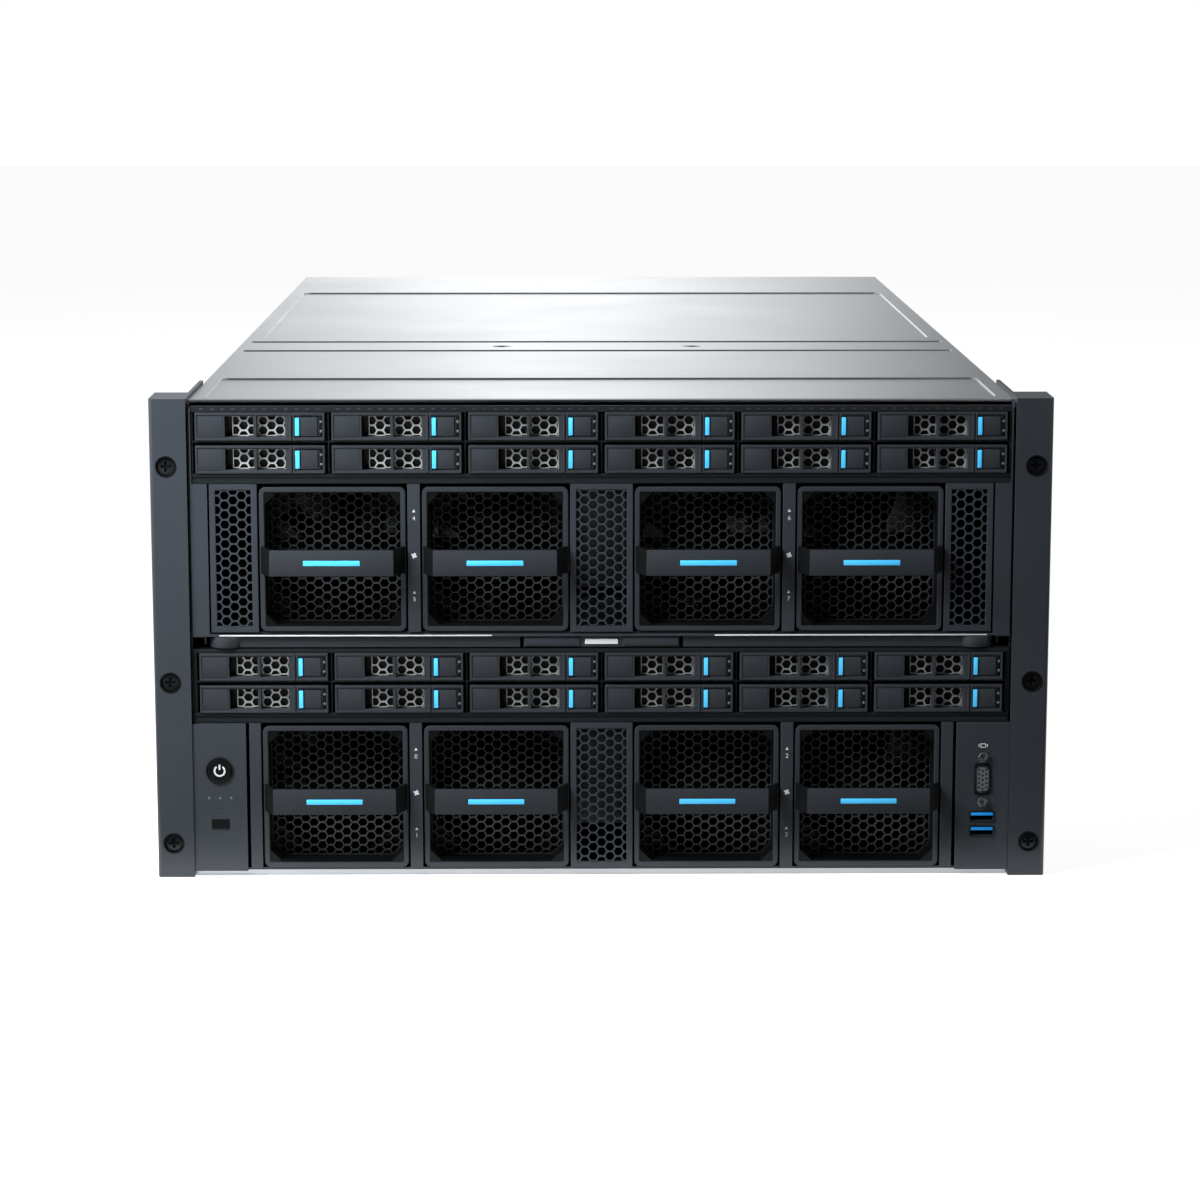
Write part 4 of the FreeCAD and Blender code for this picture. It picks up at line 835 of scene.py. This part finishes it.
class SERVER_OT_sockets(bpy.types.Operator):
    """Makes the monitor socket with its posts and sign, and the blue tongues of the data sockets"""
    bl_idname = "server.sockets"
    bl_label = "Front sockets"

    def execute(self, context):
        posts = turned(MONITOR_SPOT + [(0, POST_APART), (0, -POST_APART)], POST, 6, looped=True)
        outer, middle, inner = socket_ring(8.9, 17.8), socket_ring(7.7, 15.5), socket_ring(7.1, 14.9)
        well = carried(MONITOR_SPOT, np.stack([outer, outer, middle, middle]), (1.05, 0.8, 0.8, 1.05))
        rim = carried(MONITOR_SPOT, np.stack([middle, middle, inner, inner]), (1.1, 0.3, 0.3, 1.1))
        insert = socket_ring(6.5, 14.3)
        block = carried(MONITOR_SPOT, np.stack([insert, insert * 0.97]), (1.2, 0.6))
        contacts = [(x, up + shift) for x, shift in CONTACT_ROWS for up in spaced(5, 2.5)]
        sign = frames(SIGN_SPOT, 3.2, 2.4, band=0.5, front=0.94, back=1.02, corner=0.5, soft=0.01)
        sides = SIGN_SPOT + [(-2.3, 0), (2.3, 0)]
        stands = slab(sides, 0.45, 1.7, front=0.94, back=1.02, corner=0.1, soft=0.01)
        tongues = slab(DATA_SPOTS + (0, 1.3), 11.9, 1.6, front=0.85, back=4.0, corner=0.2, soft=0.1)
        shells = frames(DATA_SPOTS, 13.4, 5.9, band=0.45, front=0.7, back=1.1, corner=0.5, soft=0.1)
        parts = [(posts, NICKEL), (skin(well, looped=True), PBT), (skin(rim, looped=True), NICKEL),
                 (skin(block), LENS), (turned(MONITOR_SPOT + contacts, CONTACT, 8), PBT), (sign, PRINT),
                 (stands, PRINT), (tongues, "blue_pbt_with_painted_glow"), (shells, PBT)]
        piece("front_sockets", parts, "chassis")
        return {"FINISHED"}


# Rear and sides: profiles are counted outward from the wall

REAR_WALL, SIDE_WALL = LID_BACK, LID_EDGE
# Bottom and top of a power supply's grilles, and the places of the inlet's pins from its middle
SUPPLY_GRILLES = ((2.6, 10.4), (32.2, 40.0))
INLET_PINS = ((-17, 24.2), (-21.5, 18.6), (-12.5, 18.6))
PIN = ((0, -16.1), (0, -1.6), (0.5, -1.0))
TAB = ((0, -SINK), (0, 1.5), (0.4, 1.9))
SUPPLY_LENS = ((1.4, -SINK), (1.4, 0.35), (0.9, 0.6), (0.05, 0.65))
# Near and far side, bottom and top of the rear vents of one half
REAR_VENTS = ((8.0, 208.5, 202.0, 246.0), (130.5, 208.5, 10.0, 64.0))
VENT_LAP = 0.3
SLOT_COVERS, SLOT_PITCH, SLOT_SCREW_UP = 14, 20.32, 194.0
SLOT_SCREW = ((3.0, -SINK), (3.0, 0.9), (2.3, 1.6), (1.1, 1.7), (0.9, 0.9), (0.1, 0.8))
STUD_SPOTS = [(depth, 88.0) for depth in (150, 370, 590, 790)]
RIVET_SPOTS = [(depth, height) for depth in (115, 265, 480, 690, 835) for height in (12.0, 131.0, 246.0)]
STUD = ((3.9, 0), (3.9, 0.8), (2.2, 1.0), (2.2, 2.6), (4.2, 2.8), (4.2, 3.5), (3.8, 3.8), (0.2, 3.8))
RIVET = ((2.4, 0), (2.3, 0.3), (1.7, 0.7), (0.9, 0.9), (0.1, 0.95))


class SERVER_OT_supplies(bpy.types.Operator):
    """Makes the outlet grilles, the inlet's pins, the release tab and the lamp of each power supply"""
    bl_idname = "server.supplies"
    bl_label = "Power supplies"

    def execute(self, context):
        size = sizes(context)
        for number in (1, 2, 3):
            name = f"power_supply_{number}"
            x = node_middle(name)[0]
            parts = []
            for bottom, top in SUPPLY_GRILLES:
                backing = plates((x - 17, (bottom + top) / 2), 34.4, top - bottom + 0.8,
                                 [(0, REAR_WALL - SINK), (0, REAR_WALL + 0.1)])
                grille = honeycomb((x - 33.8, bottom), (x - 0.2, top), size, "grille", REAR_WALL + 0.6,
                                   REAR_WALL + SINK, PUNCHED)
                parts += [(backing, PBT), (grille, ZINC)]
            spots = [(x + place, up) for place, up in INLET_PINS]
            pins = plates(spots, 1.9, 4.2, behind(PIN, REAR_WALL), corner=0.3)
            tab = plates((x + 34, 9.5), 3.2, 12, behind(TAB, REAR_WALL), corner=0.6)
            lamp = turned((x + 31.5, 36.2), behind(SUPPLY_LENS, REAR_WALL), 16)
            parts += [(pins, NICKEL), (tab, "blue_pbt_with_painted_glow"), (lamp, LENS)]
            piece(f"{name}_trim", parts, name)
        return {"FINISHED"}


class SERVER_OT_rear(bpy.types.Operator):
    """Makes the honeycomb of the rear vents and the screws of the slot covers"""
    bl_idname = "server.rear"
    bl_label = "Rear wall"

    def execute(self, context):
        size = sizes(context)
        parts = []
        for side in (-1, 1):
            for near, far, low, high in REAR_VENTS:
                left, right = sorted((side * near, side * far))
                vent = honeycomb((left - VENT_LAP, low - VENT_LAP), (right + VENT_LAP, high + VENT_LAP), size,
                                 "vent", REAR_WALL - 0.9, REAR_WALL - 0.1, PUNCHED)
                parts.append((vent, ZINC))
        spots = level(spaced(SLOT_COVERS, SLOT_PITCH), SLOT_SCREW_UP)
        heads = turned(spots, behind(SLOT_SCREW, REAR_WALL), 18)
        piece("rear_vents", [*parts, (heads, NICKEL)], "chassis")
        return {"FINISHED"}


class SERVER_OT_sides(bpy.types.Operator):
    """Makes the rail studs and the rivets on both side walls"""
    bl_idname = "server.sides"
    bl_label = "Side walls"

    def execute(self, context):
        for side, name in ((-1, "left_wall_studs"), (1, "right_wall_studs")):
            parts = []
            for spots, profile in ((STUD_SPOTS, STUD), (RIVET_SPOTS, RIVET)):
                heads = turned(spots, behind(profile, SIDE_WALL - SINK), 20)
                parts.append((sideways(heads, side), NICKEL))
            piece(name, parts, "chassis")
        return {"FINISHED"}


# Stage, in metres

WHITE = (1, 1, 1, 1)
FLOOR_HALF, FLOOR_GLOW, SKY_LIGHT, SKY_SEEN = 8, 0.93, 0.05, 1.0
# Place, aim, side and watts of each square lamp
LAMPS = {"key": ((-0.5, -0.74, 0.66), (-0.14, -0.43, 0.22), 0.36, 18),
         "fill": ((0.15, -2.5, 0.75), (0.0, -0.43, 0.13), 1.0, 0.8),
         "back": ((-0.3, 1.9, 1.9), (0.0, 0.43, 0.13), 1.0, 8)}
# Opposite corners of the black cards, which only gloss can see, and of the bright card at the rear
VELVET_CARDS = {"card_behind_camera": ((-2.4, -3.3, 0), (2.4, -3.3, 2.6)),
                "card_ceiling": ((-0.8, -3.2, 2.2), (0.8, 0.6, 2.2)),
                "card_floor_right": ((-0.1, -3.2, 0.004), (2.2, -0.46, 0.004)),
                "card_floor_left": ((-1.4, -0.95, 0.004), (-0.1, -0.46, 0.004))}
REAR_CARD = ((1, 2, 0), (-1, 2, 1.8))
# Axis, two places and the light at each: the rise and fall across the rear card, and its fall with height
REAR_CARD_LIGHT = (("X", -0.66, -0.1, 0.25, 2.65), ("X", 0.0, 0.52, 2.65, 0.12), ("Z", 0.35, 0.9, 1.15, 0.6))
CAMERA_PLACE = (-0.0178, (EAR_PLANE - 1798.4) / 1000, 0.467)
CAMERA_DOWN, CAMERA_TURN, SENSOR_MM = 0.1727, -0.0094, 36


def seen_rays(tree):
    """1 for rays of the camera, gloss and glass, which see a white backdrop, and 0 for light itself."""
    rays = add(tree, "ShaderNodeLightPath").outputs
    seen = mixed(tree, "ADD", rays["Is Camera Ray"], rays["Is Glossy Ray"])
    return mixed(tree, "ADD", seen, rays["Is Transmission Ray"], use_clamp=True)


def sheet(name, low, high, material):
    """A flat sheet of the studio between two opposite corners, in metres."""
    mesh = bpy.data.meshes.new(name)
    mesh.from_pydata([low, (high[0], *low[1:]), high, (low[0], *high[1:])], [], [(0, 1, 2, 3)])
    mesh.materials.append(material)
    thing = bpy.data.objects.new(name, mesh)
    bpy.context.scene.collection.objects.link(thing)
    return thing


def hide_but_gloss(card):
    """Leaves a card to the gloss of other surfaces: no camera, soft light, glass or shadow meets it."""
    card.visible_camera = card.visible_diffuse = card.visible_transmission = card.visible_shadow = False


class SERVER_OT_stage(bpy.types.Operator):
    """Makes the floor, the cards, the lamps, the world and the camera at the photograph's place"""
    bl_idname = "server.stage"
    bl_label = "Stage"

    def execute(self, context):
        scene = context.scene
        scene.view_settings.view_transform = "Standard"
        paper, tree = surface("matt_paper_floor")
        glow = mixed(tree, "MULTIPLY", seen_rays(tree), FLOOR_GLOW)
        matt = add(tree, "ShaderNodeBsdfDiffuse", {"Color": (*scene.server_colours.floor, 1)})
        light = add(tree, "ShaderNodeEmission", {"Color": WHITE, "Strength": glow})
        both = add(tree, "ShaderNodeAddShader", {0: matt.outputs[0], 1: light.outputs[0]})
        add(tree, "ShaderNodeOutputMaterial", {"Surface": both.outputs[0]})
        sheet("floor", (-FLOOR_HALF, -FLOOR_HALF, 0), (FLOOR_HALF, FLOOR_HALF, 0), paper)

        # Black velvet cards stand where only the gloss of the dark front and of the lid can see them
        velvet, tree = surface("black_velvet_card")
        nap = add(tree, "ShaderNodeBsdfDiffuse", {"Color": (0.01, 0.01, 0.01, 1)})
        add(tree, "ShaderNodeOutputMaterial", {"Surface": nap.outputs[0]})
        for name, corners in VELVET_CARDS.items():
            hide_but_gloss(sheet(name, *corners, velvet))

        # The graded card behind gives the lid its bright middle and its darker right side
        graded, tree = surface("graded_light_card")
        place = add(tree, "ShaderNodeTexCoord").outputs["Object"]
        axes = add(tree, "ShaderNodeSeparateXYZ", {"Vector": place}).outputs
        left, right, fall = (mapped(tree, axes[axis], *light) for axis, *light in REAR_CARD_LIGHT)
        strength = mixed(tree, "MULTIPLY", mixed(tree, "MINIMUM", left, right), fall)
        light = add(tree, "ShaderNodeEmission", {"Color": WHITE, "Strength": strength})
        add(tree, "ShaderNodeOutputMaterial", {"Surface": light.outputs[0]})
        hide_but_gloss(sheet("card_rear", *REAR_CARD, graded))

        world = bpy.data.worlds.new("studio")
        scene.world = world
        world.use_nodes = True
        tree = world.node_tree
        tree.nodes.clear()
        power = mapped(tree, seen_rays(tree), 0, 1, SKY_LIGHT, SKY_SEEN)
        sky = add(tree, "ShaderNodeBackground", {"Color": WHITE, "Strength": power})
        add(tree, "ShaderNodeOutputWorld", {"Surface": sky.outputs[0]})

        for name, (place, aim, side, watts) in LAMPS.items():
            lamp = bpy.data.lights.new(name, "AREA")
            lamp.shape, lamp.size, lamp.energy = "SQUARE", side, watts
            holder = bpy.data.objects.new(name, lamp)
            holder.location = place
            holder.rotation_euler = (Vector(aim) - Vector(place)).to_track_quat("-Z", "Y").to_euler()
            holder.visible_camera = holder.visible_glossy = False
            scene.collection.objects.link(holder)

        camera = bpy.data.cameras.new("camera")
        camera.lens = scene.server_sizes.lens * 1000
        camera.sensor_width = SENSOR_MM
        holder = bpy.data.objects.new("camera", camera)
        holder.location = CAMERA_PLACE
        holder.rotation_euler = (np.pi / 2 - CAMERA_DOWN, 0, CAMERA_TURN)
        scene.collection.objects.link(holder)
        scene.camera = holder
        return {"FINISHED"}


OPERATORS = (SERVER_OT_finishes, SERVER_OT_lid, SERVER_OT_drives, SERVER_OT_fans, SERVER_OT_air_panels,
             SERVER_OT_marks, SERVER_OT_header, SERVER_OT_screws, SERVER_OT_controls, SERVER_OT_sockets,
             SERVER_OT_supplies, SERVER_OT_rear, SERVER_OT_sides, SERVER_OT_stage)


class SERVER_PT_panel(bpy.types.Panel):
    """Lists the steps that dress the server"""
    bl_label = "Rack server"
    bl_idname = "SERVER_PT_panel"
    bl_space_type = "VIEW_3D"
    bl_region_type = "UI"
    bl_category = "Rack server"

    def draw(self, context):
        for operator in OPERATORS:
            self.layout.operator(operator.bl_idname)
        for group in (context.scene.server_sizes, context.scene.server_colours):
            for name in type(group).__annotations__:
                self.layout.prop(group, name)


CLASSES = (ServerSizes, ServerColours, *OPERATORS, SERVER_PT_panel)


def register():
    """Registers the classes and puts their settings on the scene."""
    for item in CLASSES:
        bpy.utils.register_class(item)
    bpy.types.Scene.server_sizes = PointerProperty(type=ServerSizes)
    bpy.types.Scene.server_colours = PointerProperty(type=ServerColours)


def unregister():
    """Takes the settings and the classes away again."""
    del bpy.types.Scene.server_sizes
    del bpy.types.Scene.server_colours
    for item in reversed(CLASSES):
        bpy.utils.unregister_class(item)


def main():
    """Dresses the server."""
    register()
    for operator in OPERATORS:
        group, name = operator.bl_idname.split(".")
        getattr(getattr(bpy.ops, group), name)()


if __name__ == "__main__":
    main()
